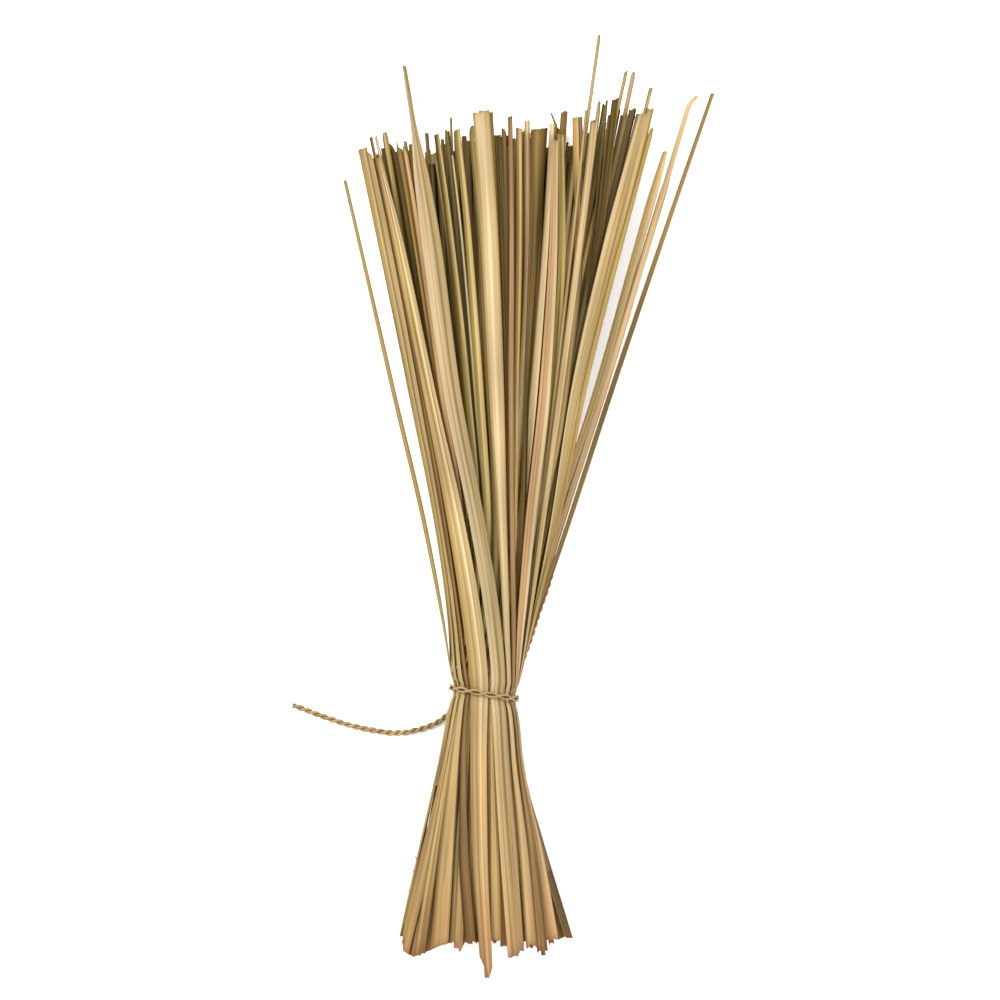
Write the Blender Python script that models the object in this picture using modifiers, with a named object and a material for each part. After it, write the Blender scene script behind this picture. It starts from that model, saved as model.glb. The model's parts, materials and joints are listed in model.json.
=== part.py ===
"""Bunch of dried grass, tied round the waist and lying on a flat surface.

The blades lie in nested layers, like the leaves of a leek: every layer is a flattened tube that
is narrow at the tie and spreads towards both ends. Within a layer the blades keep their order
round the tube, so no two of them meet. X runs across the bunch, +Y from the tie to the tips and
+Z up from the surface. Lengths are in millimetres up to the point where a mesh is made.
"""

import math
import random
from collections import namedtuple

import bmesh
import bpy
import numpy as np

MM = 0.001

# The waist, where the cord holds the grass and draws it in: the pinch is even under the cord
# and fades beside it
WAIST_HALF_WIDTH = 22.3
WAIST_RISE = 19.4
WAIST_CLEARANCE = 9.8
AXIS_HEIGHT = 27.0
AXIS_SLOPE = 0.01
TIE_Y = 2.2
TIE_SLANT = -0.17
PINCH = 0.1
PINCH_EVEN = 2.4
PINCH_REACH = 2.6

# How fast the bunch spreads: growth per mm, and softness of the bend in mm
SPREAD_LEFT_TIPS = (0.244, 120.0)
SPREAD_RIGHT_TIPS = (0.243, 10.0)
SPREAD_LEFT_BUTTS = (0.223, 5.0)
SPREAD_RIGHT_BUTTS = (0.37, 88.0)
SPREAD_UP = (0.107, 35.0)
SINK_TIPS = 13.8 / 300.0
SINK_BUTTS = 13.8 / 110.0

# Layers, and how a blade lies in its own
LAYER_STEP = 2.0
LAYER_STEP_GROWTH = 0.0125
LAYER_INSET = 0.4
CROSS_POWER = 2.4
OUTLINE_STEPS = 720
FAN_START = 10.0
FAN_FULL = 90.0
LAID_FLAT = 0.45
BUTT_TURN = 0.92
TIE_HOLD = 6.0
STRAY_CLEAR = 2.0

# A blade of grass and the Ys at which it is measured
BLADE_THICKNESS = 0.6
FOLD_PER_WIDTH = 0.13
RIDGE_SHARE = 0.6
STATION_YS = (-95.0, -45.0, 45.0, 110.0, 200.0, 300.0)
TIE_STATIONS = (-9.0, -2.8, 2.8, 9.0)
END_ROOM = 12.0
LOW_Y = 60.0
MID_Y = 190.0
FRONT_ROLL = 7.0

# The tie cord, whose two plies lie side by side where it is pressed on the waist
CORD_DIAMETER = 3.9
RING_THICKNESS = 2.4
RING_SIDES = 8
CORD_GAP = 0.45
FACE_GAP = 0.3
KNOT_SIZE = (13.0, 10.0, 8.8)
KNOT_CENTRE_Z = 5.6
KNOT_ROUNDING = 1.6
RING_END_Z = 7.2
RING_POINTS = 37
RING_EASE = 9.0
TANGENT_SHARE = 0.004

# Colours of dry straw, as linear RGB
TONES = {
    "straw_pale": (0.80, 0.65, 0.38),
    "straw_tan": (0.55, 0.39, 0.17),
    "straw_gold": (0.50, 0.33, 0.12),
    "straw_peach": (0.58, 0.35, 0.19),
    "straw_olive": (0.26, 0.21, 0.09),
    "straw_brown": (0.17, 0.10, 0.04),
    "straw_cord": (0.48, 0.33, 0.14),
}
STRAW_ROUGHNESS = 0.55

# Front blades, left to right, each table one layer. The place at the tie is the way round from
# the top, positive to the right; then the butt's X and Y, X at LOW_Y and at MID_Y, the tip's X
# and Y, the widths at the butt, the tie, LOW_Y, MID_Y and the tip, and the slant of the tip's
# cut. None leaves a place to the smooth curve.
FrontBlade = namedtuple(
    "FrontBlade",
    "name tone tie_way butt_x butt_y low_x mid_x tip_x tip_y "
    "butt_width tie_width low_width mid_width tip_width cut",
)
OUTER_FRONT = (
    ("left_gold_edge", "gold", -19.7, -50, -154, -22.7, -45.4, -78.6, 357, 6, 3.6, 3, 4.4, 5.6, 1),
    ("left_tan", "tan", -15.2, -29, -161, -20.1, -42, -74.3, 353, 8, 4.0, 2.4, 3.4, 2.6, -1),
    ("left_reddish", "brown", -11.2, -9, -160, -17.9, -39.6, -73.2, 364, 5, 2.9, 2.0, 1.8, 1.2, 1),
    ("bright_ridge", "pale", -2.9, 2, -182, -9.2, -33.8, -68.2, 351, 7, 11.6, 13.2, 8.2, 2.6, 2),
    ("long_light", "pale", 8.8, 21, -169, 4.4, -19.4, -51.4, 409, 9, 9.6, 9.8, 11.4, 2.8, -1),
    ("bright_centre", "pale", 16.4, 31, -163, 13.6, 8.6, -1.9, 380, 5, 3.6, 4.6, 9.4, 11.0, 1),
    ("reddish_mid", "brown", 20.6, 38, -166, 18.6, 17.6, 16.9, 376, 5, 3.1, 3.4, 3.8, 3.0, 1),
    ("peach", "peach", 24.6, 44.6, -158, 24.6, 38.8, 46.1, 361, 6, 3.4, 6.4, 7.4, 3.6, -1),
    ("right_strip", "tan", 28.6, None, -114, 30.4, 48.2, 71.4, 373, 5, 3.1, 3.0, 4.0, 4.6, 1),
    ("right_broad_gold", "gold", 32.7, None, -158, 34.6, 59.2, 106, 383, 5, 3.8, 4.0, 8.8, 9.0, 1),
)
SECOND_FRONT = (
    ("olive_left", "olive", -22.4, -44, -157, -17.5, -36.5, -64.4, 367, 5, 3.4, 3.2, 4.0, 3.2, 1),
    ("reddish_thin", "brown", -18.0, -35, -160, -9.6, -26.8, -52.0, 359, 5, 3.6, 2.8, 2.6, 2.4, -1),
    ("olive_mid", "olive", -13.7, -26, -157, -2.8, -10.6, -30.6, 365, 6, 3.6, 4.0, 5.4, 3.4, 1),
    ("tan_mid", "tan", -9.2, -18, -163, 2.8, -2.4, -17.2, 368, 6, 3.6, 4.0, 5.4, 3.4, 1),
    ("olive_bent", "olive", -4.8, -9, -159, 7.8, 4.0, -8.6, 372, 6, 3.6, 3.6, 4.6, 3.2, -2),
    ("dark_centre", "brown", -0.4, -1, -161, 12.3, 13.0, 6.5, 364, 6, 3.6, 3.6, 3.6, 2.8, 1),
    ("tan_centre", "tan", 3.9, 7, -158, 16.6, 20.9, 22.6, 369, 6, 3.6, 4.0, 3.2, 4.2, -1),
    ("wide_brown", "brown", 8.3, 15, -162, 20.8, 27, 35.8, 369, 6, 3.6, 4.0, 3.4, 11.0, 1),
    ("tan_olive", "olive", 12.8, 23, -157, 24.7, 43.2, 49.6, 365, 6, 3.6, 4.0, 5.0, 4.6, -1),
    ("orange_brown", "gold", 17.1, 31, -160, 28.0, 50.6, 59.0, 376, 5, 3.6, 3.6, 4.2, 4.0, 1),
    ("right_brown", "brown", 21.6, 39, -158, 30.0, 56.4, 85.2, 389, 5, 3.4, 3.6, 5.0, 5.2, 2),
)
THIRD_FRONT = (
    ("brown_curl", "brown", -19.5, -36, -157, -14.5, -31.5, -60.4, 361, 5, 3.4, 3.0, 3.2, 3.2, 1),
    ("pointed_light", "pale", -15.1, -28, -155, -8.8, -19.5, -44.6, 362, 5, 3.4, 3.0, 3.0, 2.4, -3),
    ("dark_olive", "olive", -10.8, -20, -159, -2.0, -8.0, -23.7, 367, 6, 3.4, 4.0, 5.0, 3.0, 1),
    ("grey_tan", "tan", -6.4, -12, -161, 4.6, 5.4, 1.2, 371, 6, 3.4, 3.6, 3.6, 2.8, 1),
    ("tan_brown", "tan", -2.0, -4, -156, 9.4, 13.8, 13.2, 368, 6, 3.4, 3.6, 3.6, 2.8, -1),
    ("golden", "gold", 2.4, 4, -160, 14.0, 24, 27.9, 374, 6, 3.4, 3.6, 4.0, 3.0, 1),
    ("pale_strip", "pale", 6.7, 12, -158, 18.2, 31.4, 43.9, 372, 6, 3.4, 3.6, 5, 2.8, -1),
    ("long_stray", "tan", 11.1, 20, -156, 22.0, 40.4, 74.8, 430, 5, 3.4, 3.0, 2.4, 1.8, -1),
    ("stray_up_gold", "gold", 15.5, 28, -159, 25.2, 47.4, 92.4, 407, 5, 3.4, 3.0, 2.6, 2.2, 1),
    ("stray_up_tan", "peach", 19.7, 36, -157, 27.4, 53.0, 97.6, 407, 4, 3.1, 3.0, 2.8, 2.8, -1),
)

# Blades that are widest near their tips: Y and width there
SHOULDERS = {
    "bright_ridge": (230, 11.0),
    "long_light": (265, 14.0),
    "bright_centre": (240, 11.2),
    "right_broad_gold": (323, 12.6),
}

# Strays that stand out from the fan at its sides: as above, with the share of the way round at
# the butt instead of its X, and the tip's height instead of its cut
SideStray = namedtuple(
    "SideStray",
    "name tone tie_way butt_share butt_y low_x mid_x tip_x tip_y "
    "butt_width tie_width low_width mid_width tip_width tip_z",
)
SIDE_STRAYS = (
    ("left_stray", "tan", -24.2, -0.2, -58, -29.4, -57.0, -90.4, 336, 5.2, 2.5, 2.2, 2.2, 1.6, 46),
    ("right_cut", "gold", 37.0, 0.286, -150, 32.4, 70.9, 118, 355, 4, 3.4, 4.2, 5.8, 6.6, 40),
    ("right_pale_stray", "peach", 40.5, 0.314, -148, 36, 75.5, 135, 391, 3, 2.2, 1.8, 2.2, 1.8, 47),
    ("right_gold_stray", "gold", 43.6, 0.339, -152, 39.2, 80, 148.9, 393, 3, 2.2, 2.2, 2.6, 2.0, 36),
)

# Blades of the sides and the underside. The pairs give the first and the last blade's share of
# the way round at the butts, the tie and the tips, from the top by the right side.
UnderGroup = namedtuple("UnderGroup", "name layer count butts ties tips butt_width tie_width wide")
UNDER_GROUPS = (
    ("under", 0, 10, (0.374, 0.740), (0.398, 0.765), (0.285, 0.727), 8.0, 4.0, 7.6),
    ("under_second", 1, 7, (0.300, 0.700), (0.285, 0.715), (0.300, 0.700), 8.0, 4.7, 8.5),
)
UNDER_TONES = ("gold", "tan", "olive", "pale", "brown")
UNDER_WIDEST_Y = 120.0
UNDER_BUTT_CHANCE = 0.004
UNDER_TIP_CHANCE = 0.006
UNDER_WIDTH_CHANCE = (0.8, 1.1)
UNDER_TIP_WIDTH_CHANCE = (0.45, 0.9)
UNDER_ROLL = 5.0
UNDER_CUT = 2.5

# The ragged lines of the tips and the butts: Y at the middle, and growth with X
TIP_LINE = (364.0, 0.13)
TIP_CHANCE = (-9.0, 5.0)
BUTT_LINE = -158.0
BUTT_CHANCE = (-6.0, 8.0)

# The packed inner blades
INNER_FLUTES = 26
INNER_FLUTE_DEPTH = 1.0
INNER_GAP = 0.6
INNER_STATIONS = (-128.0, -70.0, -20.0, 2.0, 24.0, 90.0, 200.0, 318.0)
INNER_END_RINGS = (0.96, 0.62, 0.30)
INNER_TIP_DROP = (-27.0, 0.0)
INNER_BUTT_DROP = (-4.0, 18.0)

# Routes of the cord's free ends, from the knot outwards: x, y, z
TAIL_LEFT = (
    (-7.4, 3.5, 3.3),
    (-11.0, 3.5, 3.1),
    (-14.4, 1.8, 2.6),
    (-17.4, -2.6, 2.2),
    (-20.4, -7.8, 2.0),
    (-24.0, -12.7, 2.0),
    (-28.4, -16.2, 2.0),
    (-34.0, -19.4, 2.0),
    (-43.4, -22.6, 2.0),
    (-51.6, -24.2, 2.0),
    (-60.6, -24.6, 2.0),
    (-70.2, -23.4, 2.0),
    (-79.3, -21.6, 2.0),
    (-88.6, -19.4, 2.0),
    (-98.6, -16.2, 2.0),
    (-108.8, -12.6, 2.0),
    (-117.6, -9.2, 2.0),
    (-125.8, -6.4, 2.0),
)
TAIL_RIGHT = (
    (7.4, 0.9, 3.3),
    (11.0, 1.3, 3.1),
    (14.8, 3.8, 2.6),
    (18.4, 8.8, 2.2),
    (22.0, 15.8, 2.0),
    (25.6, 24.4, 2.0),
    (29.2, 34.4, 2.0),
    (32.4, 44.0, 2.0),
    (35.2, 53.2, 2.0),
    (38.4, 62.4, 2.0),
    (41.2, 70.4, 2.0),
    (43.4, 78.2, 2.0),
    (45.0, 85.4, 2.0),
    (46.2, 91.4, 2.0),
)
TAIL_STEP = 7.8
TAIL_FINE_STEPS = 24


def clear_scene():
    for obj in list(bpy.data.objects):
        bpy.data.objects.remove(obj, do_unlink=True)


def smoothstep(value, start, end):
    t = min(max((value - start) / (end - start), 0.0), 1.0)
    return t * t * (3.0 - 2.0 * t)


def spread(y, growth_softness):
    """A straight flare that bends softly at the tie."""
    growth, softness = growth_softness
    return growth * (math.sqrt(y * y + softness * softness) - softness)


def half_width(y, right):
    """Distance from the axis to the bunch's outline at this Y, on one side."""
    if right:
        rule = SPREAD_RIGHT_TIPS if y > 0 else SPREAD_RIGHT_BUTTS
    else:
        rule = SPREAD_LEFT_TIPS if y > 0 else SPREAD_LEFT_BUTTS
    return WAIST_HALF_WIDTH + spread(y, rule)


def layer_step(y):
    return LAYER_STEP + LAYER_STEP_GROWTH * abs(y)


def axis_height(y):
    return AXIS_HEIGHT + AXIS_SLOPE * y


def tie_y(x):
    """Where the slanting tie crosses the bunch at this X."""
    return TIE_Y + TIE_SLANT * x


def signed_power(values, power):
    return np.sign(values) * np.abs(values) ** power


def cross_section(y, layer):
    """Points of a layer's outline at one Y, once round from the underside by the left, the top
    and the right: a superellipse, drawn in at the tie and flattened where the surface holds it."""
    angle = np.linspace(-math.pi, math.pi, OUTLINE_STEPS + 1)
    across = signed_power(np.sin(angle), 2.0 / CROSS_POWER)
    up = signed_power(np.cos(angle), 2.0 / CROSS_POWER)
    inset = (layer + LAYER_INSET) * layer_step(y)
    underside = WAIST_CLEARANCE - (SINK_TIPS if y > 0 else SINK_BUTTS) * abs(y)
    floor = BLADE_THICKNESS / 2 + layer * layer_step(y)
    width = np.where(across > 0, half_width(y, True), half_width(y, False)) - inset
    rise = WAIST_RISE + spread(y, SPREAD_UP) - inset
    drop = axis_height(y) - underside - floor
    x = across * width
    z = np.where(up > 0, up * rise, up * drop)
    from_cord = np.maximum(np.abs(y - tie_y(x)) - PINCH_EVEN, 0.0)
    pinch = 1.0 - PINCH * np.exp(-((from_cord / PINCH_REACH) ** 2))
    return x * pinch, np.maximum(axis_height(y) + z * pinch, floor)


class Outline:
    """A layer's outline at one Y, measured by the way round from its top, positive to the right."""

    def __init__(self, y, layer):
        self.x, self.z = cross_section(y, layer)
        steps = np.hypot(np.diff(self.x), np.diff(self.z))
        way = np.concatenate([[0.0], np.cumsum(steps)])
        self.length = way[-1]
        self.way = way - way[len(way) // 2]

    def point(self, way):
        way = (way - self.way[0]) % self.length + self.way[0]
        return np.array([np.interp(way, self.way, self.x), np.interp(way, self.way, self.z)])

    def share_at_x(self, x):
        """The share of the way round to the point above this X on the upper side."""
        left, right = int(np.argmin(self.x)), int(np.argmax(self.x))
        way = np.interp(x, self.x[left : right + 1], self.way[left : right + 1])
        return float(way) / self.length


def smooth_curve(knots, values, at):
    """A smooth curve through the values that doesn't overshoot them: a cubic between each pair of
    knots, with slopes from the harmonic mean of its neighbours' slopes."""
    knots, values = np.asarray(knots, float), np.asarray(values, float)
    steps = np.diff(knots)
    rates = np.diff(values) / steps
    slopes = np.concatenate([[rates[0]], np.zeros(len(knots) - 2), [rates[-1]]])
    for i in range(1, len(knots) - 1):
        if rates[i - 1] * rates[i] > 0:
            slopes[i] = 2 * rates[i - 1] * rates[i] / (rates[i - 1] + rates[i])
    i = min(max(int(np.searchsorted(knots, at)) - 1, 0), len(steps) - 1)
    t = min(max((at - knots[i]) / steps[i], 0.0), 1.0)
    return (
        (1 + 2 * t) * (1 - t) ** 2 * values[i]
        + t * (1 - t) ** 2 * steps[i] * slopes[i]
        + t * t * (3 - 2 * t) * values[i + 1]
        + t * t * (t - 1) * steps[i] * slopes[i + 1]
    )


def stations(butt_y, tip_y, near_tie):
    """The Ys at which a blade is measured, from butt to tip."""
    inner = list(STATION_YS) + [near_tie + step for step in TIE_STATIONS]
    kept = [y for y in sorted(inner) if butt_y + END_ROOM < y < tip_y - END_ROOM]
    return [butt_y] + kept + [tip_y]


def blade_rows(blade, roll, fold):
    """Left edge, ridge and right edge of a blade at each of its stations. At the tie the blade
    follows its layer's outline; further out it fans into a flatter, folded leaf."""
    rows = []
    for y in blade["stations"]:
        outline = Outline(y, blade["layer"])
        way = smooth_curve(*blade["shares"], y) * outline.length
        width = smooth_curve(*blade["widths"], y)
        centre = outline.point(way)
        left = outline.point(way - width / 2)
        right = outline.point(way + width / 2)
        slope = math.atan2(right[1] - left[1], right[0] - left[0])
        fan = smoothstep(abs(y), FAN_START, FAN_FULL)
        if blade["free"] and y > 0:
            out = smoothstep(y, FAN_START, LOW_Y)
            centre = centre + (free_place(blade, y) - centre) * out
            slope *= 1 - out
            fan = max(fan, out)
        on_floor = blade["under"] and centre[1] < BLADE_THICKNESS
        if not blade["under"]:
            slope *= 1 - LAID_FLAT * fan
        if not on_floor:
            slope += roll * fan
        side = np.array([math.cos(slope), math.sin(slope)]) * width / 2
        normal = np.array([-math.sin(slope), math.cos(slope)])
        left = left + (centre - side - left) * fan
        right = right + (centre + side - right) * fan
        rise = 0.0 if on_floor else fold * width * fan
        middle = centre + normal * rise * RIDGE_SHARE
        left = left - normal * rise * (1 - RIDGE_SHARE)
        right = right - normal * rise * (1 - RIDGE_SHARE)
        rows.append([(p[0], y, max(p[1], BLADE_THICKNESS / 2)) for p in (left, middle, right)])
    return np.array(rows)


def free_place(blade, y):
    """X and Z of a side stray, which leaves its layer and rises evenly to its tip."""
    tie_z, tip_z = blade["heights"]
    x = smooth_curve(*blade["free"], y)
    return np.array([x, tie_z + (tip_z - tie_z) * y / blade["stations"][-1]])


def blade_object(name, tone, rows, cut):
    """A strip of grass leaf: a sheet of two facets that meet at the ridge, made solid."""
    rows[-1, :, 1] += cut * np.array([-0.5, 0.0, 0.5]) - abs(cut) / 2
    sheet = bmesh.new()
    bmesh.ops.create_grid(sheet, x_segments=2, y_segments=len(rows) - 1, size=1.0)
    sheet.verts.ensure_lookup_table()
    for vert, place in zip(sheet.verts, rows.reshape(-1, 3)):
        vert.co = place * MM
    bmesh.ops.recalc_face_normals(sheet, faces=sheet.faces)
    mesh = bpy.data.meshes.new(name)
    sheet.to_mesh(mesh)
    sheet.free()
    blade = add_object(name, mesh, tone)
    solid = blade.modifiers.new("Leaf thickness", "SOLIDIFY")
    solid.thickness = BLADE_THICKNESS * MM
    solid.offset = 0.0
    return blade


def add_object(name, data, tone):
    """Links a new object under the bunch's empty and gives it a straw material of its own."""
    obj = bpy.data.objects.new(name, data)
    PARTS.objects.link(obj)
    obj.parent = BUNCH
    material = bpy.data.materials.new(f"{name}_straw_{tone}")
    material.use_nodes = True
    shader = material.node_tree.nodes["Principled BSDF"]
    shader.inputs["Base Color"].default_value = (*TONES["straw_" + tone], 1.0)
    shader.inputs["Roughness"].default_value = STRAW_ROUGHNESS
    shader.inputs["Metallic"].default_value = 0.0
    data.materials.append(material)
    return obj


def held_place(tie_way, layer):
    """Y at which the tie crosses a blade, its share of the way round and its height there."""
    tie_x, tie_z = Outline(0.0, layer).point(tie_way)
    near_tie = tie_y(float(tie_x))
    return near_tie, tie_way / Outline(near_tie, layer).length, tie_z


def blade_plan(row, layer, near_tie, shares):
    """What blade_rows reads of a front blade. Shares are by Y, and stay the same at the tie."""
    ys = sorted(shares)
    widths = {
        row.butt_y: row.butt_width,
        near_tie: row.tie_width,
        LOW_Y: row.low_width,
        MID_Y: row.mid_width,
        row.tip_y: row.tip_width,
    }
    if row.name in SHOULDERS:
        shoulder_y, shoulder_width = SHOULDERS[row.name]
        widths[shoulder_y] = shoulder_width
    width_ys = sorted(widths)
    return {
        "layer": layer,
        "under": False,
        "stations": stations(row.butt_y, row.tip_y, near_tie),
        "shares": (ys, [shares[y] for y in ys]),
        "widths": (width_ys, [widths[y] for y in width_ys]),
        "free": None,
    }


def front_plan(row, layer):
    """A front blade's plan, from the Xs in its table."""
    near_tie, tie_share, _ = held_place(row.tie_way, layer)
    shares = {near_tie - TIE_HOLD: tie_share, near_tie + TIE_HOLD: tie_share}
    shares[row.butt_y] = tie_share * BUTT_TURN
    places = ((row.butt_y, row.butt_x), (LOW_Y, row.low_x), (MID_Y, row.mid_x), (row.tip_y, row.tip_x))
    for y, x in places:
        if x is not None:
            shares[y] = Outline(y, layer).share_at_x(x)
    return blade_plan(row, layer, near_tie, shares)


def stray_plan(row):
    """A side stray's plan: it starts in the outermost layer and leaves it above the tie."""
    near_tie, tie_share, tie_z = held_place(row.tie_way, 0)
    shares = {
        row.butt_y: row.butt_share,
        near_tie - TIE_HOLD: tie_share,
        near_tie + TIE_HOLD: tie_share,
        row.tip_y: tie_share,
    }
    plan = blade_plan(row, 0, near_tie, shares)
    start_x = math.copysign(WAIST_HALF_WIDTH + STRAY_CLEAR, row.tie_way)
    plan["free"] = ((0.0, LOW_Y, MID_Y, row.tip_y), (start_x, row.low_x, row.mid_x, row.tip_x))
    plan["heights"] = (tie_z, row.tip_z)
    return plan


def front_blades(rows, plan_of, dice):
    """The blades of one front table, each rolled and folded by chance."""
    blades = []
    for row in rows:
        roll = math.radians(dice.uniform(-FRONT_ROLL, FRONT_ROLL))
        fold = FOLD_PER_WIDTH * dice.choice((-1, 1))
        shape = blade_rows(plan_of(row), roll, fold)
        blades.append(blade_object("blade_" + row.name, row.tone, shape, getattr(row, "cut", 0.0)))
    return blades


def under_blade(group, i, dice):
    """One blade of the sides or the underside, near its even place in the group."""
    t = i / (group.count - 1)
    butt_share, tie_share, tip_share = [a + (b - a) * t for a, b in (group.butts, group.ties, group.tips)]
    butt_share += dice.uniform(-UNDER_BUTT_CHANCE, UNDER_BUTT_CHANCE)
    tip_share += dice.uniform(-UNDER_TIP_CHANCE, UNDER_TIP_CHANCE)
    at_tie, at_tips = Outline(0.0, group.layer), Outline(TIP_LINE[0], group.layer)
    near_tie = tie_y(float(at_tie.point(tie_share * at_tie.length)[0]))
    tip_y = TIP_LINE[0] + TIP_LINE[1] * at_tips.point(tip_share * at_tips.length)[0]
    tip_y += dice.uniform(*TIP_CHANCE)
    butt_y = BUTT_LINE + dice.uniform(*BUTT_CHANCE)
    plan = {
        "layer": group.layer,
        "under": True,
        "stations": stations(butt_y, tip_y, near_tie),
        "shares": (
            (butt_y, near_tie - TIE_HOLD, near_tie + TIE_HOLD, tip_y),
            (butt_share, tie_share, tie_share, tip_share),
        ),
        "widths": (
            (butt_y, near_tie, UNDER_WIDEST_Y, tip_y),
            (
                group.butt_width * dice.uniform(*UNDER_WIDTH_CHANCE),
                group.tie_width,
                group.wide * dice.uniform(*UNDER_WIDTH_CHANCE),
                group.wide * dice.uniform(*UNDER_TIP_WIDTH_CHANCE),
            ),
        ),
        "free": None,
    }
    shape = blade_rows(plan, math.radians(dice.uniform(-UNDER_ROLL, UNDER_ROLL)), FOLD_PER_WIDTH)
    tone = UNDER_TONES[(i * 2 + group.layer) % len(UNDER_TONES)]
    cut = dice.uniform(-UNDER_CUT, UNDER_CUT)
    return blade_object(f"blade_{group.name}_{i + 1:02d}", tone, shape, cut)


def inner_ring(y):
    """The packed grass at one Y: a fluted outline, three layers in at the top and sides and two
    at the underside. Also gives the ring's centre."""
    upper, lower = Outline(y, 3), Outline(y, 2)
    ways = (np.arange(INNER_FLUTES * 2) / (INNER_FLUTES * 2) - 0.5) * upper.length
    ring = np.array([upper.point(way) for way in ways])
    axis = axis_height(y)
    below = ring[:, 1] < axis
    deepest, floor = ring[:, 1].min(), lower.z.min()
    ring[below, 1] = axis - (axis - ring[below, 1]) * (axis - floor) / (axis - deepest)
    flute = INNER_FLUTE_DEPTH * (np.arange(len(ring)) % 2)
    centre = np.array([ring[:, 0].mean(), axis])
    out = ring - centre
    size = np.linalg.norm(out, axis=1, keepdims=True)
    return centre + out * (size - INNER_GAP - flute[:, None]) / size, centre


def inner_end(solid, line, slope, drop, dice):
    """The ragged end of the packed grass: rings that shrink towards one closing point."""
    count = INNER_FLUTES * 2
    outermost, _ = inner_ring(line)
    loops = []
    for scale in INNER_END_RINGS:
        loop = []
        for j in range(count):
            y = line + slope * outermost[j][0] * scale + dice.uniform(*drop)
            ring, centre = inner_ring(y)
            x, z = centre + (ring[j] - centre) * scale
            loop.append(solid.verts.new((x * MM, y * MM, z * MM)))
        loops.append(loop)
    middle_y = line + sum(drop) / 2
    _, centre = inner_ring(middle_y)
    closing = solid.verts.new((centre[0] * MM, middle_y * MM, centre[1] * MM))
    for j in range(count):
        solid.faces.new((loops[-1][j], loops[-1][(j + 1) % count], closing))
    return loops


def inner_grass(dice):
    """One closed solid for the packed inner blades: a loft through their outlines at several Ys."""
    solid = bmesh.new()
    middle = []
    for y in INNER_STATIONS:
        ring, _ = inner_ring(y)
        middle.append([solid.verts.new((x * MM, y * MM, z * MM)) for x, z in ring])
    butts = inner_end(solid, BUTT_LINE, 0.0, INNER_BUTT_DROP, dice)
    tips = inner_end(solid, *TIP_LINE, INNER_TIP_DROP, dice)
    loops = butts[::-1] + middle + tips
    count = len(loops[0])
    for near, far in zip(loops, loops[1:]):
        for j in range(count):
            k = (j + 1) % count
            solid.faces.new((near[j], near[k], far[k], far[j]))
    bmesh.ops.triangulate(solid, faces=solid.faces)
    bmesh.ops.recalc_face_normals(solid, faces=solid.faces)
    mesh = bpy.data.meshes.new("inner_grass")
    solid.to_mesh(mesh)
    solid.free()
    return add_object("inner_grass", mesh, "olive")


def even_points(route, step):
    """Points every step along a smooth curve through a route's own points (Catmull-Rom)."""
    route = [np.array(place) for place in route]
    route = [2 * route[0] - route[1]] + route + [2 * route[-1] - route[-2]]
    fine = []
    for a, b, c, d in zip(route, route[1:], route[2:], route[3:]):
        for t in np.linspace(0, 1, TAIL_FINE_STEPS, endpoint=False):
            even = (2 * a - 5 * b + 4 * c - d) * t * t
            odd = (3 * b - a - 3 * c + d) * t**3
            fine.append((2 * b + (c - a) * t + even + odd) / 2)
    fine.append(route[-2])
    fine = np.array(fine)
    way = np.concatenate([[0.0], np.cumsum(np.linalg.norm(np.diff(fine, axis=0), axis=1))])
    at = np.linspace(0, way[-1], int(round(way[-1] / step)) + 1)
    return np.stack([np.interp(at, way, fine[:, k]) for k in range(3)], axis=1)


def cord_object(name, points):
    """A plain tube of the cord's thickness along the points, closed at both ends."""
    curve = bpy.data.curves.new(name, "CURVE")
    curve.dimensions = "3D"
    curve.bevel_depth = CORD_DIAMETER / 2 * MM
    curve.bevel_resolution = 2
    curve.use_fill_caps = True
    spline = curve.splines.new("POLY")
    spline.points.add(len(points) - 1)
    for point, place in zip(spline.points, points):
        point.co = (*(place * MM), 1.0)
    return add_object(name, curve, "cord")


def tie_ring():
    """The turn of cord round the waist, from one side of the knot over the top to the other."""
    reach = RING_THICKNESS / 2 + CORD_GAP + BLADE_THICKNESS / 2
    outline = Outline(TIE_Y, 0)
    centre = np.array([0.0, AXIS_HEIGHT])
    knot_side = KNOT_SIZE[0] / 2 + FACE_GAP
    points = [(-knot_side, tie_y(-knot_side), RING_END_Z)]
    for share in np.linspace(-0.5, 0.5, RING_POINTS)[1:-1]:
        place = outline.point(share * outline.length)
        ahead = outline.point((share + TANGENT_SHARE) * outline.length)
        behind = outline.point((share - TANGENT_SHARE) * outline.length)
        tangent = (ahead - behind) / np.linalg.norm(ahead - behind)
        normal = np.array([-tangent[1], tangent[0]])
        normal *= np.sign(normal @ (place - centre))
        x, z = place + normal * reach
        if z < AXIS_HEIGHT:
            if abs(x) < knot_side:
                continue
            z -= smoothstep(-abs(x), -knot_side - RING_EASE, -knot_side) * (z - RING_END_Z)
        points.append((x, tie_y(x), z))
    points.append((knot_side, tie_y(knot_side), RING_END_Z))
    ring = cord_object("tie_ring", np.array(points))
    ring.data.bevel_mode = "OBJECT"
    ring.data.bevel_object = ring_section()
    return ring


def ring_section():
    """The pressed cord's oval section, a guide that only the ring's curve reads."""
    curve = bpy.data.curves.new("ring_section", "CURVE")
    spline = curve.splines.new("POLY")
    spline.points.add(RING_SIDES - 1)
    spline.use_cyclic_u = True
    for i, point in enumerate(spline.points):
        turn = 2 * math.pi * (i + 0.5) / RING_SIDES
        across = CORD_DIAMETER / 2 * math.cos(turn)
        out = -RING_THICKNESS / 2 * math.sin(turn)
        point.co = (across * MM, out * MM, 0.0, 1.0)
    section = bpy.data.objects.new("ring_section", curve)
    section.hide_render = True
    section.display_type = "WIRE"
    GUIDES.objects.link(section)
    return section


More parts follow.
